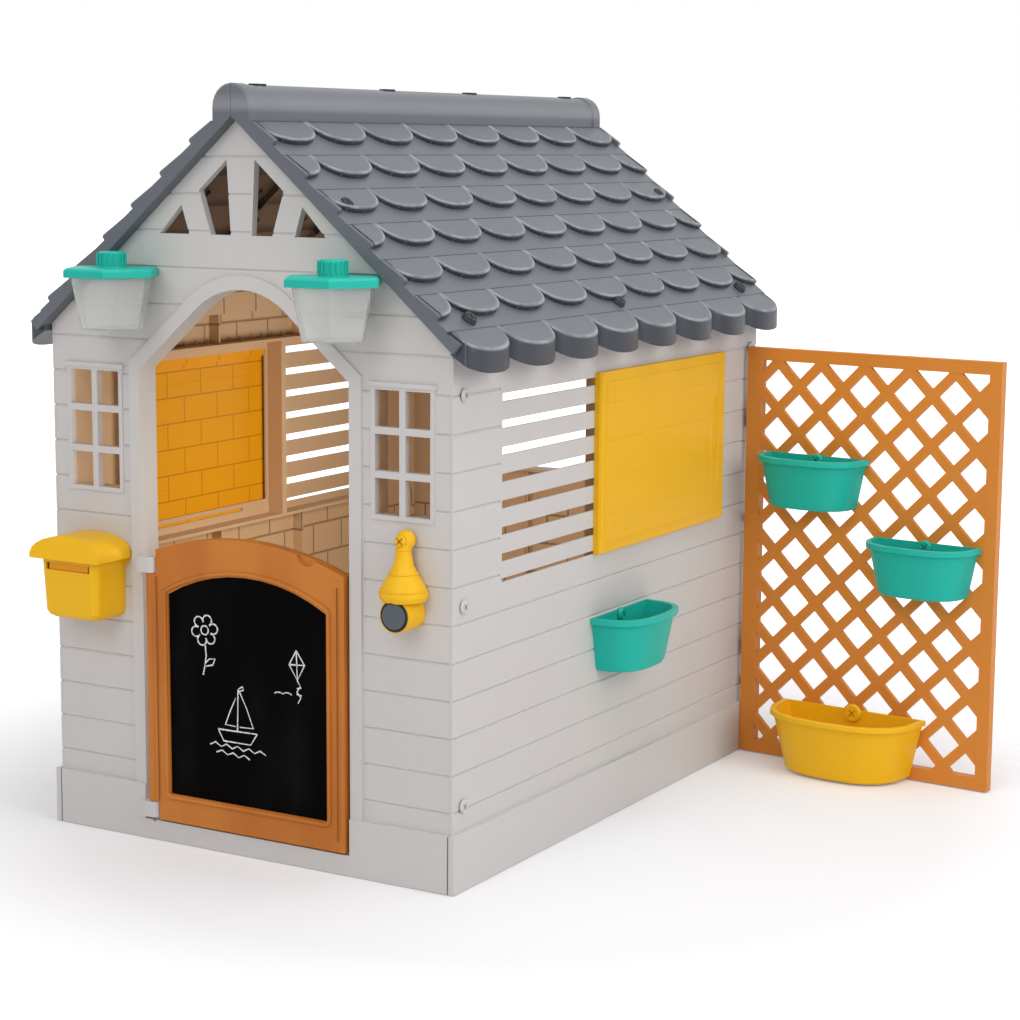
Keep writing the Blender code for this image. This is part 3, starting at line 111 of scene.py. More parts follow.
world = bpy.data.worlds.new("studio")
bpy.context.scene.world = world
world.use_nodes = True
tree = world.node_tree
surround = tree.nodes["Background"]
surround.inputs["Color"].default_value = (0.97, 0.98, 1.0, 1.0)
surround.inputs["Strength"].default_value = 0.60
backdrop = tree.nodes.new("ShaderNodeBackground")
backdrop.inputs["Color"].default_value = (1.0, 1.0, 1.0, 1.0)
backdrop.inputs["Strength"].default_value = 1.0
pick = tree.nodes.new("ShaderNodeMixShader")
tree.links.new(seen_directly(tree), pick.inputs["Fac"])
tree.links.new(surround.outputs["Background"], pick.inputs[1])
tree.links.new(backdrop.outputs["Background"], pick.inputs[2])
tree.links.new(pick.outputs["Shader"], tree.nodes["World Output"].inputs["Surface"])


def softbox(name, place, aim, size, power, colour=(1.0, 1.0, 1.0)):
    """A square area lamp that looks at a point."""
    lamp = bpy.data.objects.new(name, bpy.data.lights.new(name, "AREA"))
    lamp.data.size = size
    lamp.data.energy = power
    lamp.data.color = colour
    lamp.location = place
    lamp.visible_camera = False
    lamp.rotation_euler = (Vector(aim) - Vector(place)).to_track_quat("-Z", "Y").to_euler()
    bpy.context.scene.collection.objects.link(lamp)


softbox("key_light", (0.6, -4.2, 3.6), (0.0, 0.4, 0.6), 2.6, 62.0)
softbox("side_light", (4.4, -0.4, 2.4), (0.2, 0.5, 0.6), 2.4, 60.0)
softbox("top_light", (0.9, 0.1, 4.0), (0.1, 0.4, 0.6), 2.6, 44.0)
softbox("cabin_glow", (0.26, 0.40, 0.66), (-0.40, 0.60, 0.40), 0.30, 3.2, (1.0, 0.90, 0.76))

# --- House walls --------------------------------------------------------------------------------
# Four blow-moulded walls in warm white plastic, with planked faces. Their edges are rounded by
# the mould and the skin has a fine matt grain. The cabin side is painted tan, a painted warm
# shade, with brick-like panels.


def soften(piece, width, segments=2, angle=28.0):
    """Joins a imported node's split faces and rounds its edges as the mould does."""
    joined = piece.modifiers.new("join_faces", "WELD")
    joined.merge_threshold = 2e-5
    flat = piece.modifiers.new("flat_faces", "DECIMATE")
    flat.decimate_type = "DISSOLVE"
    flat.angle_limit = math.radians(0.6)
    rounded = piece.modifiers.new("mould_radius", "BEVEL")
    rounded.width = width
    rounded.segments = segments
    rounded.limit_method = "ANGLE"
    rounded.angle_limit = math.radians(angle)
    rounded.use_clamp_overlap = True
    rounded.harden_normals = True
    piece.data.shade_smooth()
    even = piece.modifiers.new("even_shading", "WEIGHTED_NORMAL")
    even.keep_sharp = True


def new_group(name, inputs, outputs):
    """An empty shader group with named sockets, its inlet and its outlet."""
    group = bpy.data.node_groups.new(name, "ShaderNodeTree")
    for kind, label, low in inputs:
        socket = group.interface.new_socket(name=label, in_out="INPUT",
                                            socket_type="NodeSocket" + kind)
        if low is not None:
            socket.default_value = low
    for kind, label in outputs:
        group.interface.new_socket(name=label, in_out="OUTPUT", socket_type="NodeSocket" + kind)
    return group, group.nodes.new("NodeGroupInput"), group.nodes.new("NodeGroupOutput")


def sum_node(tree, operation, first, second=None, third=None):
    """A Math node. Each operand is a number or a socket, and it gives its output socket."""
    made = tree.nodes.new("ShaderNodeMath")
    made.operation = operation
    for slot, value in enumerate((first, second, third)):
        if value is None:
            continue
        if isinstance(value, (int, float)):
            made.inputs[slot].default_value = value
        else:
            tree.links.new(value, made.inputs[slot])
    return made.outputs[0]


def ramp_node(tree, value, low, high, to_low=0.0, to_high=1.0):
    """Runs from to_low to to_high while value goes from low to high, and stays there outside."""
    made = tree.nodes.new("ShaderNodeMapRange")
    made.interpolation_type = "SMOOTHSTEP"
    made.inputs["From Min"].default_value = low
    made.inputs["From Max"].default_value = high
    made.inputs["To Min"].default_value = to_low
    made.inputs["To Max"].default_value = to_high
    tree.links.new(value, made.inputs["Value"])
    return made.outputs["Result"]


def object_axes(tree):
    """The three coordinates of the piece as it was moulded."""
    place = tree.nodes.new("ShaderNodeTexCoord")
    parts = tree.nodes.new("ShaderNodeSeparateXYZ")
    tree.links.new(place.outputs["Object"], parts.inputs[0])
    return place.outputs["Object"], parts.outputs


def mixed(tree, share, first, second):
    """A colour between two, by a share that is a number or a socket."""
    made = tree.nodes.new("ShaderNodeMix")
    made.data_type = "RGBA"
    for name, value in (("Factor", share), ("A", first), ("B", second)):
        socket = next(s for s in made.inputs if s.name == name
                      and (name == "Factor") == (s.type == "VALUE") and s.enabled)
        if isinstance(value, (int, float)):
            socket.default_value = value
        elif isinstance(value, tuple):
            socket.default_value = (*value, 1.0)
        else:
            tree.links.new(value, socket)
    return next(s for s in made.outputs if s.type == "RGBA" and s.enabled)


grain, inlet, outlet = new_group(
    "Moulded grain",
    (("Color", "Colour", None), ("Float", "Mottle", 0.06), ("Float", "Grain size", 900.0),
     ("Float", "Base roughness", 0.4)),
    (("Color", "Colour"), ("Float", "Roughness"), ("Float", "Height")))
place, axes = object_axes(grain)
cloud = grain.nodes.new("ShaderNodeTexNoise")
cloud.inputs["Scale"].default_value = 6.0
cloud.inputs["Detail"].default_value = 4.0
grain.links.new(place, cloud.inputs["Vector"])
fine = grain.nodes.new("ShaderNodeTexNoise")
fine.inputs["Detail"].default_value = 2.0
grain.links.new(place, fine.inputs["Vector"])
grain.links.new(inlet.outputs["Grain size"], fine.inputs["Scale"])
swing = sum_node(grain, "SUBTRACT", cloud.outputs["Fac"], 0.5)
tone = grain.nodes.new("ShaderNodeVectorMath")
tone.operation = "SCALE"
grain.links.new(inlet.outputs["Colour"], tone.inputs[0])
grain.links.new(sum_node(grain, "MULTIPLY_ADD", swing, inlet.outputs["Mottle"], 1.0),
                tone.inputs["Scale"])
grain.links.new(tone.outputs["Vector"], outlet.inputs["Colour"])
grain.links.new(sum_node(grain, "MULTIPLY_ADD", swing, 0.20, inlet.outputs["Base roughness"]),
                outlet.inputs["Roughness"])
grain.links.new(fine.outputs["Fac"], outlet.inputs["Height"])


def plastic(name, colour, roughness, mottle=0.08, grain_size=900.0, bump=0.10, gloss=0.22,
            relief=None, depth=0.0006):
    """A moulded plastic with the shared grain. Colour is three numbers or a function that
    gives a socket of the tree, and relief is a function that gives a height to add."""
    made = bpy.data.materials.new(name)
    made.use_nodes = True
    tree = made.node_tree
    shader = tree.nodes["Principled BSDF"]
    shader.inputs["Specular IOR Level"].default_value = gloss
    skin = tree.nodes.new("ShaderNodeGroup")
    skin.node_tree = grain
    if callable(colour):
        tree.links.new(colour(tree), skin.inputs["Colour"])
    else:
        skin.inputs["Colour"].default_value = (*colour, 1.0)
    skin.inputs["Mottle"].default_value = mottle
    skin.inputs["Grain size"].default_value = grain_size
    skin.inputs["Base roughness"].default_value = roughness
    height = skin.outputs["Height"]
    if relief is not None:
        height = sum_node(tree, "MULTIPLY_ADD", height, 0.25, relief(tree))
    lift = tree.nodes.new("ShaderNodeBump")
    lift.inputs["Strength"].default_value = bump if relief is None else 1.0
    lift.inputs["Distance"].default_value = depth
    tree.links.new(skin.outputs["Colour"], shader.inputs["Base Color"])
    tree.links.new(skin.outputs["Roughness"], shader.inputs["Roughness"])
    tree.links.new(height, lift.inputs["Height"])
    tree.links.new(lift.outputs["Normal"], shader.inputs["Normal"])
    return made


def dress(names, look):
    """Gives the named CAD nodes one material in place of their own."""
    for name in names:
        node[name].data.materials.clear()
        node[name].data.materials.append(look)


def place_normal(tree):
    """The object's own normal, for what depends on the side that a face looks to."""
    return tree.nodes.new("ShaderNodeTexCoord").outputs["Normal"]


def brick_lines(tree, along, up, row_height, joint):
    """One on the joints of the bricks drawn on the cabin side, nought between them."""
    flat = tree.nodes.new("ShaderNodeCombineXYZ")
    tree.links.new(along, flat.inputs[0])
    tree.links.new(up, flat.inputs[1])
    bricks = tree.nodes.new("ShaderNodeTexBrick")
    bricks.inputs["Scale"].default_value = 1.0
    bricks.inputs["Brick Width"].default_value = 0.104
    bricks.inputs["Row Height"].default_value = row_height
    bricks.inputs["Mortar Size"].default_value = joint
    bricks.inputs["Mortar Smooth"].default_value = 0.6
    tree.links.new(flat.outputs[0], bricks.inputs["Vector"])
    return bricks.outputs["Fac"]


# Masks for the cabin side, which is painted with a tan shade, and for the brick joints on it.
cabin, inlet, outlet = new_group("Cabin side", (("Float", "Half width", 0.4172),),
                                 (("Float", "Inside"), ("Float", "Brick line")))
place, axes = object_axes(cabin)
across = sum_node(cabin, "ABSOLUTE", axes[0])
behind = sum_node(cabin, "SUBTRACT", inlet.outputs["Half width"], across)
within = ramp_node(cabin, behind, 0.0, 0.0018)
# The front windows' returns take the brown painted shade from near the front face, the
# doorway's only at the back.
returns = sum_node(cabin, "MULTIPLY", ramp_node(cabin, axes[1], -0.0130, -0.0100),
                   ramp_node(cabin, across, 0.236, 0.240))
past_front = sum_node(cabin, "MAXIMUM", ramp_node(cabin, axes[1], 0.0190, 0.0202), returns)
inside = sum_node(cabin, "MULTIPLY", within, past_front)
inside = sum_node(cabin, "MULTIPLY", inside, ramp_node(cabin, axes[1], 1.150, 1.154, 1.0, 0.0))
# The skins of the two gabled walls take the brown painted shade on the faces that look into
# the cabin.
facing = cabin.nodes.new("ShaderNodeSeparateXYZ")
cabin.links.new(place_normal(cabin), facing.inputs[0])
looks_back = ramp_node(cabin, facing.outputs[1], 0.60, 0.80)
looks_forward = ramp_node(cabin, facing.outputs[1], -0.80, -0.60, 1.0, 0.0)
front_skin = sum_node(cabin, "MULTIPLY", looks_back,
                      ramp_node(cabin, axes[1], 0.030, 0.040, 1.0, 0.0))
back_skin = sum_node(cabin, "MULTIPLY", looks_forward, ramp_node(cabin, axes[1], 1.060, 1.070))
skins = sum_node(cabin, "MULTIPLY", within, sum_node(cabin, "MAXIMUM", front_skin, back_skin))
inside = sum_node(cabin, "MAXIMUM", inside, skins)
# The side bays carry no bricks between their lower and upper rails.
bay = sum_node(cabin, "MULTIPLY", ramp_node(cabin, axes[2], 0.480, 0.484),
               ramp_node(cabin, axes[2], 0.850, 0.854, 1.0, 0.0))
joints = brick_lines(cabin, sum_node(cabin, "ADD", axes[0], axes[1]), axes[2], 0.0633, 0.0026)
lines = sum_node(cabin, "MULTIPLY", joints, sum_node(cabin, "SUBTRACT", 1.0, bay))
cabin.links.new(inside, outlet.inputs["Inside"])
cabin.links.new(sum_node(cabin, "MULTIPLY", lines, inside), outlet.inputs["Brick line"])


def cabin_masks(tree):
    """The two masks of the Cabin side group, placed once in each material."""
    made = tree.nodes.get("cabin_side") or tree.nodes.new("ShaderNodeGroup")
    made.name = "cabin_side"
    made.node_tree = cabin
    return made.outputs


def wall_colour(tree):
    masks = cabin_masks(tree)
    # The tan is painted warm shade on the cabin side, with darker brick joints.
    cabin_shade_tan = mixed(tree, masks["Brick line"], (0.66, 0.46, 0.285), (0.36, 0.235, 0.13))
    return mixed(tree, masks["Inside"], (0.595, 0.570, 0.553), cabin_shade_tan)


def wall_relief(tree):
    return sum_node(tree, "MULTIPLY", cabin_masks(tree)["Brick line"], -2.6)


warm_white = plastic("warm_white_plastic", wall_colour, 0.46, 0.07, relief=wall_relief)
walls = ("front_wall", "back_wall", "side_wall_right", "side_wall_left")
dress(walls, warm_white)
for name in walls:
    soften(node[name], 0.0014)


def add_piece(name, work, look, body="house"):
    """Makes a mesh object of a bmesh, dresses it and lets it ride on a body."""
    mesh = bpy.data.meshes.new(name)
    bmesh.ops.recalc_face_normals(work, faces=work.faces)
    work.to_mesh(mesh)
    work.free()
    made = bpy.data.objects.new(name, mesh)
    bpy.context.scene.collection.objects.link(made)
    made.data.materials.append(look)
    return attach(made, body)


def block(work, low, high):
    """Adds a box to a bmesh."""
    size = Vector(high) - Vector(low)
    middle = (Vector(high) + Vector(low)) / 2
    place = Matrix.Translation(middle) @ Matrix.Diagonal((*size, 1.0))
    bmesh.ops.create_cube(work, size=1.0, matrix=place)


# --- Gusset teeth of the side bays ---------------------------------------------------------------
# Small three-sided webs that stiffen the rails over and under each side bay on the cabin side.
# They are moulded with the wall, in the same plastic.
TOOTH_WALL, TOOTH_REACH, TOOTH_HALF, TEETH = 0.4152, 0.016, 0.0014, 24
RAIL_TOP, RAIL_FOOT = 0.8425, 0.4895
bay_y = {"right": (0.150, 0.970), "left": (0.172, 0.990)}
for side, turn in (("right", 1.0), ("left", -1.0)):
    work = bmesh.new()
    start, end = bay_y[side]
    for i in range(TEETH):
        y = start + (end - start) * i / (TEETH - 1)
        for z, way in ((RAIL_TOP, 1.0), (RAIL_FOOT, -1.0)):
            wall_x, tip_x = turn * TOOTH_WALL, turn * (TOOTH_WALL - TOOTH_REACH)
            ring = [(wall_x, z), (tip_x, z), (wall_x, z + way * TOOTH_REACH)]
            near = [work.verts.new((x, y - TOOTH_HALF, h)) for x, h in ring]
            far = [work.verts.new((x, y + TOOTH_HALF, h)) for x, h in ring]
            work.faces.new(near)
            work.faces.new(far[::-1])
            for a in range(3):
                b = (a + 1) % 3
                work.faces.new((near[a], far[a], far[b], near[b]))
    add_piece("bay_teeth_" + side, work, warm_white)

# --- Roof ----------------------------------------------------------------------------------------
# Two slate-grey panels with seven rows of scalloped tiles moulded in. The tiles' thick lips are
# rounded over, with a patchy painted highlight along their rims and painted shade on their sides.
APEX_Z, EAVES_Z, HALF_HOUSE, EAVES_OUT = 1.280, 0.916, 0.420, 0.014
ROOF_PITCH = math.atan((APEX_Z - EAVES_Z) / HALF_HOUSE)
ROOF_T, ROOF_L = 0.021, (HALF_HOUSE + EAVES_OUT) / math.cos(ROOF_PITCH)
ROOF_START, ROOF_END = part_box("roof_right")[0].y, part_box("roof_right")[1].y
ROWS, COLUMNS = 7, 8
TILE_LENGTH, TILE_RISE, TILE_TIP = 0.057, 0.0085, 0.095
TILE_PITCH = (ROOF_L + 0.027 - TILE_TIP) / (ROWS - 1)
TILE_BASE = ROOF_T + 0.0003
TILE_STEPS = 22
RAKE = 0.0095


def on_slope(down, height, y):
    """A point of the right slope, in the house's own axes."""
    return Vector((down * math.cos(ROOF_PITCH) + height * math.sin(ROOF_PITCH), y,
                   APEX_Z - down * math.sin(ROOF_PITCH) + height * math.cos(ROOF_PITCH)))


def seam_of(row):
    """How far down the slope a row comes out from under the row above."""
    return TILE_TIP + TILE_PITCH * row - TILE_LENGTH


def scallop(middle, width, steps):
    """A tile's rounded outline, as pairs of a place along the ridge and one down the slope."""
    points = []
    for i in range(steps + 1):
        turn = math.pi * i / steps
        reach = math.copysign(abs(math.cos(turn)) ** 0.85, -math.cos(turn))
        points.append(Vector((middle + width / 2 * reach,
                              TILE_LENGTH * math.sin(turn) ** 0.85)))
    return points


def add_tile(work, rim, side, row, middle, width, last):
    """One tile: a slightly hollow face, a rounded lip, and the lip's side down to the row
    below. The last row's lips hang straight down as the eave."""
    edge = scallop(middle, width, TILE_STEPS)
    seam = seam_of(row)
    # inset from the outline, lift over the tile's plane, an eave tile's drop instead, share of the
    # painted rim highlight
    rings = ((0.026, 0.0000, 0.0, 0.0), (0.010, -0.0002, 0.0, 0.0), (0.0060, 0.0004, 0.0, 0.25),
             (0.0038, 0.0010, 0.0, 0.9), (0.0018, 0.0007, 0.0, 1.0),
             (0.0005, -0.0010, 0.0010, 0.55), (-0.0001, -0.0032, 0.0030, 0.05),
             (-0.0002, -0.0080, 0.0100, 0.0), (-0.0002, -0.0160, 0.0374, 0.0))
    grid = []
    for inset, lift, drop, rim_highlight_share in rings:
        line = []
        for i, point in enumerate(edge):
            before, after = edge[max(i - 1, 0)], edge[min(i + 1, TILE_STEPS)]
            along = (after - before).normalized()
            inward = Vector((-along.y, along.x))
            if inward.y > 0:
                inward = -inward
            if i in (0, TILE_STEPS):
                inward = Vector((1.0 if i == 0 else -1.0, 0.0))
            at = point + inward * inset
            at.y = max(at.y, -0.004)
            if inset > 0.02:
                at = Vector((middle + (point.x - middle) * 0.55, max(point.y * 0.35, -0.004)))
            y = min(max(at.x, ROOF_START + RAKE), ROOF_END - RAKE)
            height = TILE_BASE + TILE_RISE * max(at.y, 0.0) / TILE_LENGTH
            if last and inset < 0.001:
                spot = on_slope(seam + at.y, height, y)
                spot.z -= drop
            else:
                spot = on_slope(seam + at.y, height + lift, y)
            vert = work.verts.new(spot)
            # Each vertex carries its share of the painted rim highlight; lip-side vertices get the
            # flag for painted shade.
            vert[rim] = rim_highlight_share
            vert[side] = 1.0 if inset < 0.0 else 0.0
            line.append(vert)
        grid.append(line)
    for a, b in zip(grid, grid[1:]):
        for i in range(TILE_STEPS):
            work.faces.new((a[i], a[i + 1], b[i + 1], b[i]))
    work.faces.new(grid[0][::-1])
    if last:
        work.faces.new(grid[-1])


def add_rake_steps(work, row):
    """The stepped ends of one row at both rakes, where the tiles run out."""
    seam = seam_of(row)
    tip = seam + TILE_LENGTH
    section = [(seam, ROOF_T - 0.008), (seam, ROOF_T + 0.0003), (tip - 0.005, ROOF_T + 0.0070),
               (tip - 0.001, ROOF_T + 0.0055), (tip, ROOF_T - 0.008)]
    for y in (ROOF_START + 0.0004, ROOF_END - 0.0104):
        ends = []
        for at in (y, y + 0.0100):
            ends.append([work.verts.new(on_slope(d, h, at)) for d, h in section])
        work.faces.new(ends[0])
        work.faces.new(ends[1][::-1])
        for a in range(len(section)):
            b = (a + 1) % len(section)
            work.faces.new((ends[0][a], ends[1][a], ends[1][b], ends[0][b]))


# A patchy painted highlight along the tile rims.
roof_lines, inlet, outlet = new_group(
    "Painted rim highlight", (("Color", "Colour", None), ("Float", "Rim", 0.0), ("Float", "Pale", 0.35)),
    (("Color", "Colour"),))
place, axes = object_axes(roof_lines)
patchy = roof_lines.nodes.new("ShaderNodeTexNoise")
patchy.inputs["Scale"].default_value = 26.0
patchy.inputs["Detail"].default_value = 3.0
roof_lines.links.new(place, patchy.inputs["Vector"])
share = sum_node(roof_lines, "MULTIPLY", inlet.outputs["Rim"],
                 ramp_node(roof_lines, patchy.outputs["Fac"], 0.35, 0.60, 0.25, 1.0))
share = sum_node(roof_lines, "MULTIPLY", share, inlet.outputs["Pale"])
roof_lines.links.new(mixed(roof_lines, share, inlet.outputs["Colour"], (0.42, 0.43, 0.45)),
                     outlet.inputs["Colour"])


def slate_colour(tree):
    """Slate with a painted highlight on the tile rims and painted shade on the lips' sides, and a
    brown painted shade on the cabin side, darker under each row. The ridge roll has a painted
    highlight band along its side."""
    rim = tree.nodes.new("ShaderNodeAttribute")
    rim.attribute_name = "rim"
    rim_highlight = tree.nodes.new("ShaderNodeGroup")
    rim_highlight.node_tree = roof_lines
    rim_highlight.inputs["Colour"].default_value = (0.112, 0.122, 0.140, 1.0)
    rim_highlight.inputs["Pale"].default_value = 0.62
    tree.links.new(rim.outputs["Fac"], rim_highlight.inputs["Rim"])
    # The tiles' lip sides are darkened with painted shade.
    lip = tree.nodes.new("ShaderNodeAttribute")
    lip.attribute_name = "side"
    painted_light_slate = mixed(tree, lip.outputs["Fac"], rim_highlight.outputs["Colour"], (0.030, 0.036, 0.047))
    place, axes = object_axes(tree)
    out = sum_node(tree, "ABSOLUTE", axes[0])
    rise = sum_node(tree, "SUBTRACT", axes[2], APEX_Z)
    over = sum_node(tree, "MULTIPLY_ADD", out, math.sin(ROOF_PITCH),
                    sum_node(tree, "MULTIPLY", rise, math.cos(ROOF_PITCH)))
    down = sum_node(tree, "MULTIPLY_ADD", out, math.cos(ROOF_PITCH),
                    sum_node(tree, "MULTIPLY", rise, -math.sin(ROOF_PITCH)))
    under = sum_node(tree, "MULTIPLY", ramp_node(tree, over, 0.0122, 0.0135, 1.0, 0.0),
                     ramp_node(tree, out, 0.404, 0.414, 1.0, 0.0))
    under = sum_node(tree, "MULTIPLY", under, ramp_node(tree, axes[1], 0.018, 0.024))
    # A painted highlight band along the ridge roll's side.
    ridge_highlight_band = sum_node(tree, "MULTIPLY", ramp_node(tree, axes[2], 1.284, 1.296),
                    ramp_node(tree, axes[2], 1.300, 1.322, 0.75, 0.10))
    painted_light_slate = mixed(tree, ridge_highlight_band, painted_light_slate, (0.250, 0.252, 0.270))
    # The cabin side of the panels is a brown painted shade, darker under each row.
    wave = sum_node(tree, "FRACT", sum_node(tree, "MULTIPLY", down, 1 / TILE_PITCH))
    cabin_shade_brown = mixed(tree, ramp_node(tree, wave, 0.62, 0.98), (0.120, 0.088, 0.066),
                  (0.030, 0.021, 0.016))
    return mixed(tree, under, painted_light_slate, cabin_shade_brown)


slate = plastic("slate_plastic", slate_colour, 0.38, 0.16, gloss=0.40)
dress(("roof_right", "roof_left"), slate)
for name in ("roof_right", "roof_left"):
    soften(node[name], 0.0015)

middle_y = (ROOF_START + ROOF_END) / 2
turned = (Matrix.Translation((0.0, middle_y, 0.0)) @ Matrix.Rotation(math.pi, 4, "Z")
          @ Matrix.Translation((0.0, -middle_y, 0.0)))
tile_width = (ROOF_END - ROOF_START) / COLUMNS
for side in ("right", "left"):
    work = bmesh.new()
    rim = work.verts.layers.float.new("rim")
    shade = work.verts.layers.float.new("side")
    for row in range(ROWS):
        shift = 0.0 if (ROWS - 1 - row) % 2 == 0 else -0.5
        for j in range(COLUMNS + (shift != 0.0)):
            add_tile(work, rim, shade, row, ROOF_START + tile_width * (j + 0.5 + shift),
                     tile_width, row == ROWS - 1)
        if row < ROWS - 1:
            add_rake_steps(work, row)
    if side == "left":
        bmesh.ops.transform(work, matrix=turned, verts=work.verts)
    tiles = add_piece("roof_tiles_" + side, work, slate)
    tiles.data.shade_smooth()
    tiles.data.set_sharp_from_angle(angle=math.radians(50))

# A dark strip of painted shade on the line where each row comes out from under the row above.
seam_shade = plastic("slate_seam_shade_plastic", (0.045, 0.050, 0.058), 0.6)
for side in ("right", "left"):
    work = bmesh.new()
    for row in range(ROWS):
        corners = [on_slope(seam_of(row) + d, ROOF_T + 0.0006, y)
                   for d, y in ((-0.0004, ROOF_START + 0.002), (-0.0004, ROOF_END - 0.002),
                                (0.0008, ROOF_END - 0.002), (0.0008, ROOF_START + 0.002))]
        if side == "left":
            corners = [turned @ spot for spot in corners]
        work.faces.new([work.verts.new(spot) for spot in corners])
    add_piece("row_shade_lines_" + side, work, seam_shade)

# --- Ridge clips ---------------------------------------------------------------------------------
# Four small dark clips lock the two panels together along the ridge's top seam, which is a
# dark line between them.
black_clip = plastic("dark_clip_plastic", (0.030, 0.032, 0.036), 0.5)
ridge_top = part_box("roof_right")[1].z
work = bmesh.new()
for y in (0.03, 0.43, 0.72, 1.10):
    for dy, rise in ((-0.010, 0.0014), (0.010, 0.0014), (0.0, 0.0004)):
        block(work, (-0.007, y + dy - 0.006, ridge_top - 0.006),
              (0.007, y + dy + 0.006, ridge_top - 0.0012 + rise))
block(work, (-0.0009, ROOF_START + 0.004, ridge_top - 0.010),
      (0.0009, ROOF_END - 0.004, ridge_top - 0.0021))
add_piece("ridge_clips", work, black_clip)

# --- Half door -----------------------------------------------------------------------------------
# An orange moulded frame on two hinge pins holds the board. A raised border runs round the
# board's opening, and a groove, drawn as a thin dark line of painted shade, runs down each side
# of the frame.


def terracotta(tree):
    """Orange with the faint upright streaks of the moulding."""
    place, axes = object_axes(tree)
    streak = tree.nodes.new("ShaderNodeTexNoise")
    streak.inputs["Scale"].default_value = 9.0
    stretch = tree.nodes.new("ShaderNodeMapping")
    stretch.inputs["Scale"].default_value = (1.0, 1.0, 0.25)
    tree.links.new(place, stretch.inputs["Vector"])
    tree.links.new(stretch.outputs[0], streak.inputs["Vector"])
    return mixed(tree, ramp_node(tree, streak.outputs["Fac"], 0.35, 0.7), (0.57, 0.195, 0.030),
                 (0.49, 0.150, 0.022))


orange = plastic("orange_plastic", terracotta, 0.42, 0.08)
dress(("door_frame",), orange)
soften(node["door_frame"], 0.0022, 3)


def beading(name, points, radius, look, body, closed=False):
    """A raised line along one list of points or several, as a round bead half sunk in the
    face under it."""
    curve = bpy.data.curves.new(name, "CURVE")
    curve.dimensions = "3D"
    curve.bevel_depth = radius
    curve.bevel_resolution = 2
    curve.use_fill_caps = True
    strokes = points if isinstance(points[0][0], (tuple, list, Vector)) else [points]
    for stroke in strokes:
        line = curve.splines.new("POLY")
        line.points.add(len(stroke) - 1)
        for spot, at in zip(line.points, stroke):
            spot.co = (*at, 1.0)
        line.use_cyclic_u = closed
    made = bpy.data.objects.new(name, curve)
    bpy.context.scene.collection.objects.link(made)
    curve.materials.append(look)
    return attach(made, body)


door_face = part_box("door_frame")[0].y
LEFT, RIGHT, FOOT, SHOULDER, APEX = -0.160, 0.177, 0.0905, 0.4515, 0.497
CORNER = 0.008


def board_line(out, steps=24):
    """The board's outline let out by a distance, from the left foot round by the right."""
    half = (RIGHT - LEFT) / 2 + out
    middle = (RIGHT + LEFT) / 2
    rise = APEX - SHOULDER
    radius = (half**2 + rise**2) / (2 * rise)
    crown = APEX + out - radius
    start = math.asin(half / radius)
    arch = [(middle + radius * math.sin(start - 2 * start * i / steps),
             crown + radius * math.cos(start - 2 * start * i / steps))
            for i in range(steps + 1)]
    foot = []
    for cx, cz, a in ((middle - half + CORNER, FOOT - out + CORNER, 180),
                      (middle + half - CORNER, FOOT - out + CORNER, 270)):
        for i in range(5):
            t = math.radians(a + 90 * i / 4)
            foot.append((cx + CORNER * math.cos(t), cz + CORNER * math.sin(t)))
    return foot + arch


ring = [(x, door_face + 0.0022, z) for x, z in board_line(0.0055)]
beading("door_border", ring, 0.0040, orange, "door", closed=True)
groove_shade = plastic("orange_groove_shade_plastic", (0.30, 0.085, 0.012), 0.5)
# Thin dark lines of painted shade stand for the grooves.
grooves = [[(x, door_face + 0.0003, z) for z in ends]
           for x, ends in ((-0.1835, (0.075, 0.482)), (0.2005, (0.060, 0.500)))]
beading("door_groove_shade", grooves, 0.0009, groove_shade, "door")

# --- Chalkboard ----------------------------------------------------------------------------------
# A black sheet clipped behind the frame, a little grey with wiped chalk, with a child's chalk
# strokes on it: a flower, a boat on two waves, a kite and a bird.


def wiped_black(tree):
    """Black with grey smears of wiped chalk."""
    place, axes = object_axes(tree)
    stretch = tree.nodes.new("ShaderNodeMapping")
    stretch.inputs["Scale"].default_value = (5.0, 5.0, 2.0)
    stretch.inputs["Rotation"].default_value = (0.0, 0.5, 0.0)
    tree.links.new(place, stretch.inputs["Vector"])
    smear = tree.nodes.new("ShaderNodeTexNoise")
    smear.inputs["Scale"].default_value = 2.2
    smear.inputs["Detail"].default_value = 6.0
    tree.links.new(stretch.outputs[0], smear.inputs["Vector"])
    return mixed(tree, ramp_node(tree, smear.outputs["Fac"], 0.45, 0.80), (0.0022, 0.0018, 0.0020),
                 (0.0065, 0.0058, 0.0060))


board_black = plastic("board_black_plastic", wiped_black, 0.70, 0.2, gloss=0.02)
dress(("chalkboard",), board_black)
soften(node["chalkboard"], 0.0006)

chalk = bpy.data.materials.new("chalk")
chalk.use_nodes = True
tree = chalk.node_tree
shader = tree.nodes["Principled BSDF"]
shader.inputs["Roughness"].default_value = 0.95
shader.inputs["Specular IOR Level"].default_value = 0.05
place, axes = object_axes(tree)
crumb = tree.nodes.new("ShaderNodeTexNoise")
crumb.inputs["Scale"].default_value = 420.0
crumb.inputs["Detail"].default_value = 3.0
tree.links.new(place, crumb.inputs["Vector"])
tree.links.new(mixed(tree, crumb.outputs["Fac"], (0.55, 0.55, 0.54), (0.95, 0.95, 0.93)),
               shader.inputs["Base Color"])
tree.links.new(ramp_node(tree, crumb.outputs["Fac"], 0.30, 0.44, 0.15, 1.0),
               shader.inputs["Alpha"])

BOARD_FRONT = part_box("chalkboard")[0].y


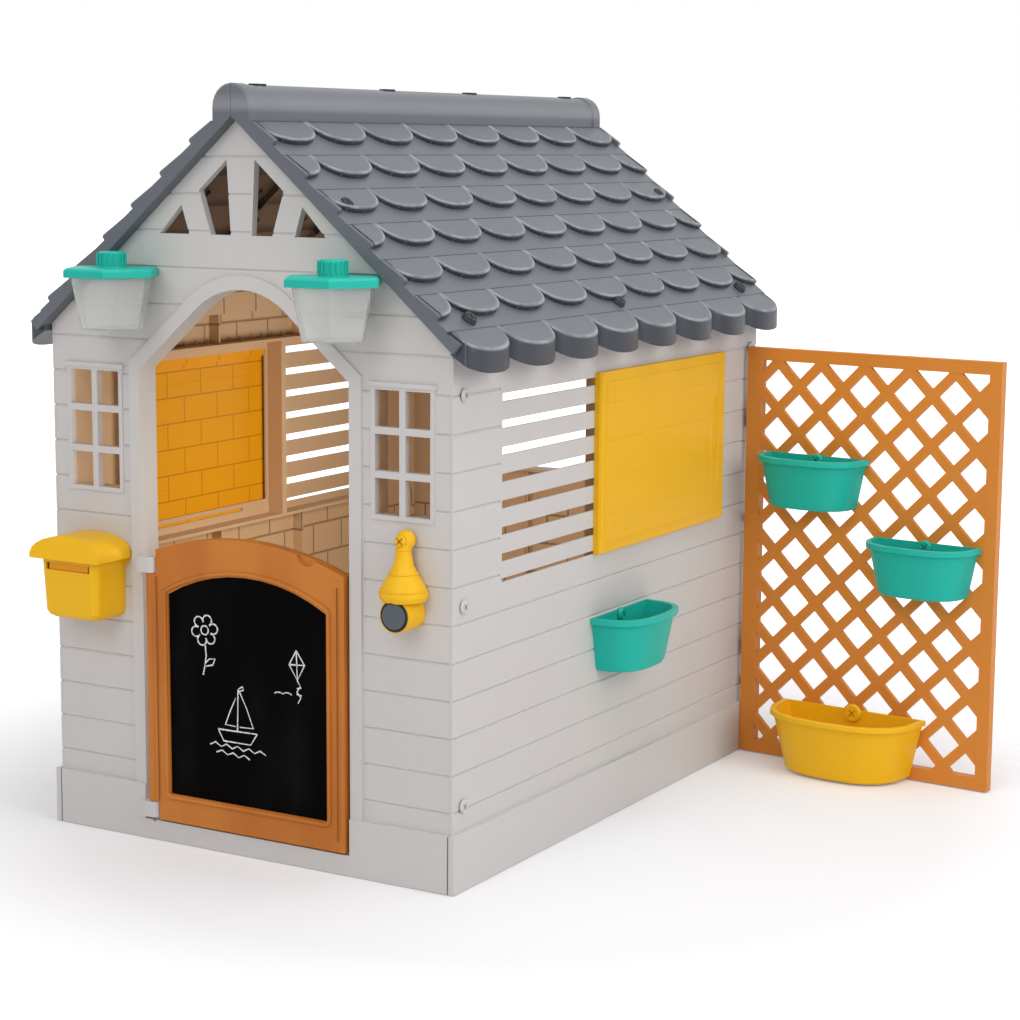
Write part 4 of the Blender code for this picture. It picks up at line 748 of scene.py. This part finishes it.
def chalk_lines(name, centre, strokes, width):
    """Chalk strokes as flat ribbons on the board. Each is a list of places in millimetres."""
    work = bmesh.new()
    for k, stroke in enumerate(strokes):
        spots = [Vector((centre[0] + x / 1000, centre[1] + z / 1000)) for x, z in stroke]
        line = []
        for i, spot in enumerate(spots):
            along = (spots[min(i + 1, len(spots) - 1)] - spots[max(i - 1, 0)]).normalized()
            aside = Vector((-along.y, along.x)) * width / 2 * (0.85 + 0.25 * math.sin(2.3 * i + k))
            line.append([work.verts.new((p.x, BOARD_FRONT - 0.0002 - 0.00002 * k, p.y))
                         for p in (spot - aside, spot + aside)])
        for a, b in zip(line, line[1:]):
            work.faces.new((a[0], a[1], b[1], b[0]))
    return add_piece(name, work, chalk, "door")


def loop_of(x, z, rx, rz, start=0, end=360, steps=18):
    """A round or a part of one, in millimetres."""
    return [(x + rx * math.cos(math.radians(start + (end - start) * i / steps)),
             z + rz * math.sin(math.radians(start + (end - start) * i / steps)))
            for i in range(steps + 1)]


flower = [loop_of(0, 0, 8, 8)]
for petal in range(6):
    a = math.radians(60 * petal + 12)
    flower.append(loop_of(19 * math.cos(a), 19 * math.sin(a), 9.5, 9.0, 60 * petal - 120,
                          60 * petal + 150, 12))
flower += [[(1, -27), (3, -45), (0, -62), (-4, -80)],
           [(1, -58), (10, -50), (22, -49), (17, -60), (2, -64)]]
chalk_lines("chalk_flower", (-0.083, 0.395), flower, 0.0030)
boat = [[(-42, 0), (-30, -20), (28, -20), (42, 1)], [(-42, 0), (42, 1)],
        [(0, 1), (1, 38), (2, 76)], [(4, 74), (20, 44), (34, 10), (5, 9)],
        [(-3, 60), (-16, 34), (-26, 10), (-4, 9)], [(2, 76), (12, 82), (14, 76), (3, 72)],
        [(-60, -30), (-48, -24), (-36, -31), (-24, -25), (-12, -32), (0, -26), (12, -33),
         (24, -27), (36, -34), (48, -28), (60, -34)],
        [(-46, -42), (-34, -37), (-22, -44), (-10, -39), (2, -46), (14, -40), (26, -47)]]
chalk_lines("chalk_boat", (-0.014, 0.222), boat, 0.0028)
kite = [[(0, 26), (17, 2), (2, -26), (-15, 0), (0, 26)], [(0, 26), (1, 0), (2, -26)],
        [(-15, 0), (17, 2)], [(2, -26), (8, -36), (1, -46), (9, -56), (3, -66)],
        [(1, -40), (10, -38)], [(0, -50), (11, -52)]]
chalk_lines("chalk_kite", (0.112, 0.355), kite, 0.0027)
bird = [loop_of(0, 0, 9, 4, 20, 170, 8), loop_of(18, 1, 9, 4, 10, 160, 8)]
chalk_lines("chalk_bird", (0.075, 0.300), bird, 0.0024)

# --- Sliding shutters ----------------------------------------------------------------------------
# Thin yellow trays that slide in the side walls' slots. The sheet has faint drawn creases and a
# raised border. Its face toward the cabin is a deeper painted shade, with painted shadow lines of
# ribs laid out as bricks like the walls'.


def shutter_relief(tree):
    """Shallow level creases that wander a little."""
    place, axes = object_axes(tree)
    wander = tree.nodes.new("ShaderNodeTexNoise")
    wander.inputs["Scale"].default_value = 5.0
    tree.links.new(place, wander.inputs["Vector"])
    z = sum_node(tree, "MULTIPLY_ADD", wander.outputs["Fac"], 0.010, axes[2])
    cycle = sum_node(tree, "FRACT", sum_node(tree, "MULTIPLY", z, 1 / 0.0680))
    crease = sum_node(tree, "ABSOLUTE", sum_node(tree, "SUBTRACT", cycle, 0.5))
    return ramp_node(tree, crease, 0.0, 0.035, -0.6, 0.0)


yellow = plastic("yellow_plastic", (0.86, 0.475, 0.010), 0.40, 0.05, gloss=0.20)


def sheet_colour(tree):
    """Plain outside, a deeper painted shade on the face toward the cabin, with painted rib shadows
    laid out as brick joints.
    """
    place, axes = object_axes(tree)
    looks = tree.nodes.new("ShaderNodeSeparateXYZ")
    tree.links.new(place_normal(tree), looks.inputs[0])
    away = sum_node(tree, "MULTIPLY", looks.outputs[0], axes[0])
    inward = ramp_node(tree, away, -0.30, -0.20, 1.0, 0.0)
    # Painted rib shadows, in a brick pattern, on the face toward the cabin.
    line = sum_node(tree, "MULTIPLY", brick_lines(tree, axes[1], axes[2], 0.0500, 0.0020), inward)
    sheet = mixed(tree, inward, (0.84, 0.455, 0.010), (0.86, 0.390, 0.006))
    return mixed(tree, sum_node(tree, "MULTIPLY", line, 0.55), sheet, (0.36, 0.130, 0.004))


yellow_sheet = plastic("yellow_sheet_plastic", sheet_colour, 0.40, 0.05, gloss=0.20,
                       relief=shutter_relief)
dress(("shutter_right", "shutter_left"), yellow_sheet)
BORDER_FOOT, BORDER_TOP = 0.5235, 0.8145
for side, turn in (("right", 1.0), ("left", -1.0)):
    soften(node["shutter_" + side], 0.0012)
    low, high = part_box("shutter_" + side)
    face = (high.x if side == "right" else low.x) - turn * 0.0052
    near = (low.y if side == "right" else high.y) + turn * 0.030
    far = (high.y if side == "right" else low.y) - turn * 0.026
    border = [(face, y, z) for y, z in ((near, BORDER_FOOT), (far, BORDER_FOOT),
                                        (far, BORDER_TOP), (near, BORDER_TOP),
                                        (near, BORDER_FOOT))]
    inner = [(face, far - turn * 0.030, z) for z in (BORDER_FOOT + 0.022, BORDER_TOP - 0.018)]
    lines = [border, inner]
    beading("shutter_border_" + side, lines, 0.0011, yellow, side + "_shutter")

# --- Letterbox -----------------------------------------------------------------------------------
# A yellow box with a letter slot and a lift-off arched lid, hooked on the front wall.
dress(("mailbox_body", "mailbox_lid"), yellow)
soften(node["mailbox_body"], 0.0016)
soften(node["mailbox_lid"], 0.0022, 3)
# The slot looks like an orange groove in the photograph, so a thin floor closes it just behind
# the front.
SLOT_X, SLOT_Z, FLOOR_BACK = -0.326, 0.4935, 0.0040
slot_face = min(v.co.y for v in node["mailbox_body"].data.vertices if 0.486 < v.co.z < 0.501)
work = bmesh.new()
bmesh.ops.create_cube(work, size=1.0, matrix=(
    Matrix.Translation((SLOT_X, slot_face + FLOOR_BACK, SLOT_Z))
    @ Matrix.Diagonal((0.0880, 0.0012, 0.0120, 1.0))))
# The floor is a deeper yellow, painted shade for the slot's recess.
add_piece("letter_flap", work, plastic("slot_shade_yellow_plastic", (0.80, 0.32, 0.010), 0.45))

# --- Doorbell ------------------------------------------------------------------------------------
# A bell-shaped yellow cover under a ball and a screw, with bands round its flare, and a grey
# push button in a black ring on the drum.
dress(("bell_body",), yellow)
soften(node["bell_body"], 0.0008, 2, 40.0)
BELL_X, BELL_Y, BELL_Z, DRUM_FACE = 0.339, -0.042, 0.472, -0.0703
WALL_FACE = -0.0203
bands = []
for z, radius in ((0.5795, 0.0128), (0.5400, 0.0242), (0.5130, 0.0392)):
    bands.append([(BELL_X + radius * math.cos(math.radians(a)),
                   BELL_Y + radius * math.sin(math.radians(a)), z)
                  for a in range(-220, 41, 10)
                  if BELL_Y + radius * math.sin(math.radians(a)) < WALL_FACE - 0.0012])
beading("bell_bands", bands, 0.0014, yellow, "house")
button_grey = plastic("button_grey_plastic", (0.085, 0.100, 0.115), 0.55, 0.5, 500.0, 0.35,
                      gloss=0.3)
dress(("bell_button",), button_grey)
soften(node["bell_button"], 0.0016, 3)
RING_R = 0.0250
ring = [(BELL_X + RING_R * math.cos(math.radians(a)), DRUM_FACE - 0.0002,
         BELL_Z + RING_R * math.sin(math.radians(a))) for a in range(0, 360, 10)]
beading("button_ring", ring, 0.0016, black_clip, "house", closed=True)

# --- Lanterns ------------------------------------------------------------------------------------
# Six-sided frosted cups clipped to the wall under teal snap-on lids with a fluted knob.
teal = plastic("teal_plastic", (0.014, 0.440, 0.355), 0.38, 0.06, gloss=0.20)
dress(("lantern_lid_left", "lantern_lid_right"), teal)
frosted = bpy.data.materials.new("frosted_plastic")
frosted.use_nodes = True
tree = frosted.node_tree
shader = tree.nodes["Principled BSDF"]
shader.inputs["Transmission Weight"].default_value = 0.80
shader.inputs["IOR"].default_value = 1.12
shader.inputs["Specular IOR Level"].default_value = 0.3
skin = tree.nodes.new("ShaderNodeGroup")
skin.node_tree = grain
skin.inputs["Colour"].default_value = (0.88, 0.88, 0.86, 1.0)
skin.inputs["Mottle"].default_value = 0.10
skin.inputs["Base roughness"].default_value = 0.20
tree.links.new(skin.outputs["Colour"], shader.inputs["Base Color"])
tree.links.new(skin.outputs["Roughness"], shader.inputs["Roughness"])
frost = tree.nodes.new("ShaderNodeBump")
frost.inputs["Strength"].default_value = 0.2
frost.inputs["Distance"].default_value = 0.0005
tree.links.new(skin.outputs["Height"], frost.inputs["Height"])
tree.links.new(frost.outputs["Normal"], shader.inputs["Normal"])
dress(("lantern_cup_left", "lantern_cup_right"), frosted)
KNOB_X, KNOB_Y, KNOB_R, FLUTES = {"left": -0.224, "right": 0.234}, -0.089, 0.0241, 18
for side in ("left", "right"):
    soften(node["lantern_cup_" + side], 0.0010)
    soften(node["lantern_lid_" + side], 0.0016, 3)
    lid_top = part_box("lantern_lid_" + side)[1].z
    work = bmesh.new()
    for i in range(FLUTES):
        a = 2 * math.pi * i / FLUTES
        spot = (KNOB_X[side] + KNOB_R * math.cos(a), KNOB_Y + KNOB_R * math.sin(a),
                lid_top - 0.0125)
        bmesh.ops.create_cone(work, cap_ends=True, segments=8, radius1=0.0020, radius2=0.0017,
                              depth=0.021, matrix=Matrix.Translation(spot))
    knob = add_piece("knob_flutes_" + side, work, teal)
    knob.data.shade_smooth()
    knob.data.set_sharp_from_angle(angle=math.radians(60))

# --- Planters ------------------------------------------------------------------------------------
# Half-round pots with a rolled rim, three teal and a large yellow one, each on one screw.
for name, look in (("planter_wall", teal), ("planter_upper", teal), ("planter_lower", teal),
                   ("planter_large", yellow)):
    dress((name,), look)
    soften(node[name], 0.0012, 2, 40.0)

# --- Trellis -------------------------------------------------------------------------------------
# An orange lattice panel, moulded in one, that swings on two pins at the rear corner.
orange_bright = plastic("bright_orange_plastic", (0.66, 0.235, 0.036), 0.42, 0.10, gloss=0.2)
dress(("trellis",), orange_bright)
soften(node["trellis"], 0.0012)

# --- Bolts, screws and pins ----------------------------------------------------------------------
# Moulded push bolts with a cross recess, in their wall's, the bell's or pot's own colour, dark on
# the roof. The cross is a thin sheet in a darker tone, painted shade standing for the recess. The
# pins have no cap and no cross.
# Each tone is a cap plastic and a darker plastic for the painted shade of the cross recess.
tones = {
    "white": (warm_white, plastic("white_recess_shade_plastic", (0.36, 0.34, 0.33), 0.6)),
    "dark": (plastic("roof_bolt_plastic", (0.040, 0.043, 0.050), 0.5),
             plastic("roof_recess_shade_plastic", (0.008, 0.008, 0.010), 0.6)),
    "teal": (teal, plastic("teal_recess_shade_plastic", (0.005, 0.20, 0.16), 0.5)),
    "yellow": (yellow, plastic("yellow_recess_shade_plastic", (0.46, 0.22, 0.004), 0.5)),
}
TRELLIS_TURN = math.radians(-5.4)
CAP_BACK, CROSS_LIFT = 0.0002, 0.0001


def head_along(piece, out):
    """The point where a bolt's axis leaves its head, on the side that out points to."""
    spots = [v.co for v in piece.data.vertices]
    axis = sum(spots, Vector()) / len(spots)
    return axis + out * (max(spot.dot(out) for spot in spots) - axis.dot(out))


recess_shades = {}
caps = {}
for name in sorted(node):
    if not ("bolt" in name or "screw" in name or "pin" in name):
        continue
    tone = "white"
    if name.startswith("roof_bolt"):
        tone = "dark"
    elif name in ("bell_screw", "planter_screw_large"):
        tone = "yellow"
    elif name.startswith("planter_screw"):
        tone = "teal"
    dress((name,), tones[tone][0])
    soften(node[name], 0.0007)
    if "pin" in name:
        continue
    low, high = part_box(name)
    middle = (low + high) / 2
    body = "garden_trellis" if name in ("planter_screw_upper", "planter_screw_lower",
                                        "planter_screw_large") else "house"
    if name.startswith("corner_bolt"):
        side = 1.0 if middle.x > 0 else -1.0
        head = Vector((high.x if side > 0 else low.x, middle.y, middle.z))
        out = Vector((side, 0.0, 0.0))
    elif name.startswith("roof_bolt"):
        side = 1.0 if middle.x > 0 else -1.0
        out = Vector((side * math.sin(ROOF_PITCH), 0.0, math.cos(ROOF_PITCH)))
        head = head_along(node[name], out)
    elif body == "garden_trellis":
        out = Vector((math.sin(TRELLIS_TURN), -math.cos(TRELLIS_TURN), 0.0))
        head = head_along(node[name], out)
    elif name == "planter_screw_wall":
        out = Vector((1.0, 0.0, 0.0))
        head = Vector((high.x, middle.y, middle.z))
    else:
        out = Vector((0.0, -1.0, 0.0))
        head = Vector((middle.x, low.y, middle.z))
    if name.startswith("planter_screw"):
        # A round ear on the pot's back rim carries the screw's cross.
        rim_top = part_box("planter_" + name.split("_")[-1])[1].z
        head = Vector((head.x, head.y, rim_top - (0.0070 if tone == "yellow" else 0.0085)))
        radius, tall = (0.0185 if tone == "yellow" else 0.0130), 0.0060
    elif name == "bell_screw":
        radius, tall = 0.0105, 0.0030
    else:
        radius, tall = (0.0135, 0.0075) if tone == "dark" else (0.0115, 0.0030)
    cap = caps.setdefault((tone, body), bmesh.new())
    upright = out.to_track_quat("Z", "Y").to_matrix().to_4x4()
    bmesh.ops.create_cone(cap, cap_ends=True, segments=24, radius1=radius,
                          radius2=radius * 0.82, depth=tall,
                          matrix=Matrix.Translation(head + out * CAP_BACK) @ upright)
    head = head + out * (tall / 2 + CAP_BACK)
    # A dark cross of painted shade where the recess would be.
    work = recess_shades.setdefault((tone, body), bmesh.new())
    arm = Matrix.Diagonal((0.0125 if tone == "white" else 0.0175, 0.0026, 0.0006, 1.0))
    for turn in (45, 135):
        bmesh.ops.create_cube(work, size=1.0, matrix=(
            Matrix.Translation(head + out * CROSS_LIFT) @ upright
            @ Matrix.Rotation(math.radians(turn), 4, "Z") @ arm))
for (tone, body), work in recess_shades.items():
    add_piece("cross_recesses_{}_{}".format(tone, body), work, tones[tone][1], body)
for (tone, body), work in caps.items():
    cap = add_piece("screw_caps_{}_{}".format(tone, body), work, tones[tone][0], body)
    cap.data.shade_smooth()
    cap.data.set_sharp_from_angle(angle=math.radians(40))
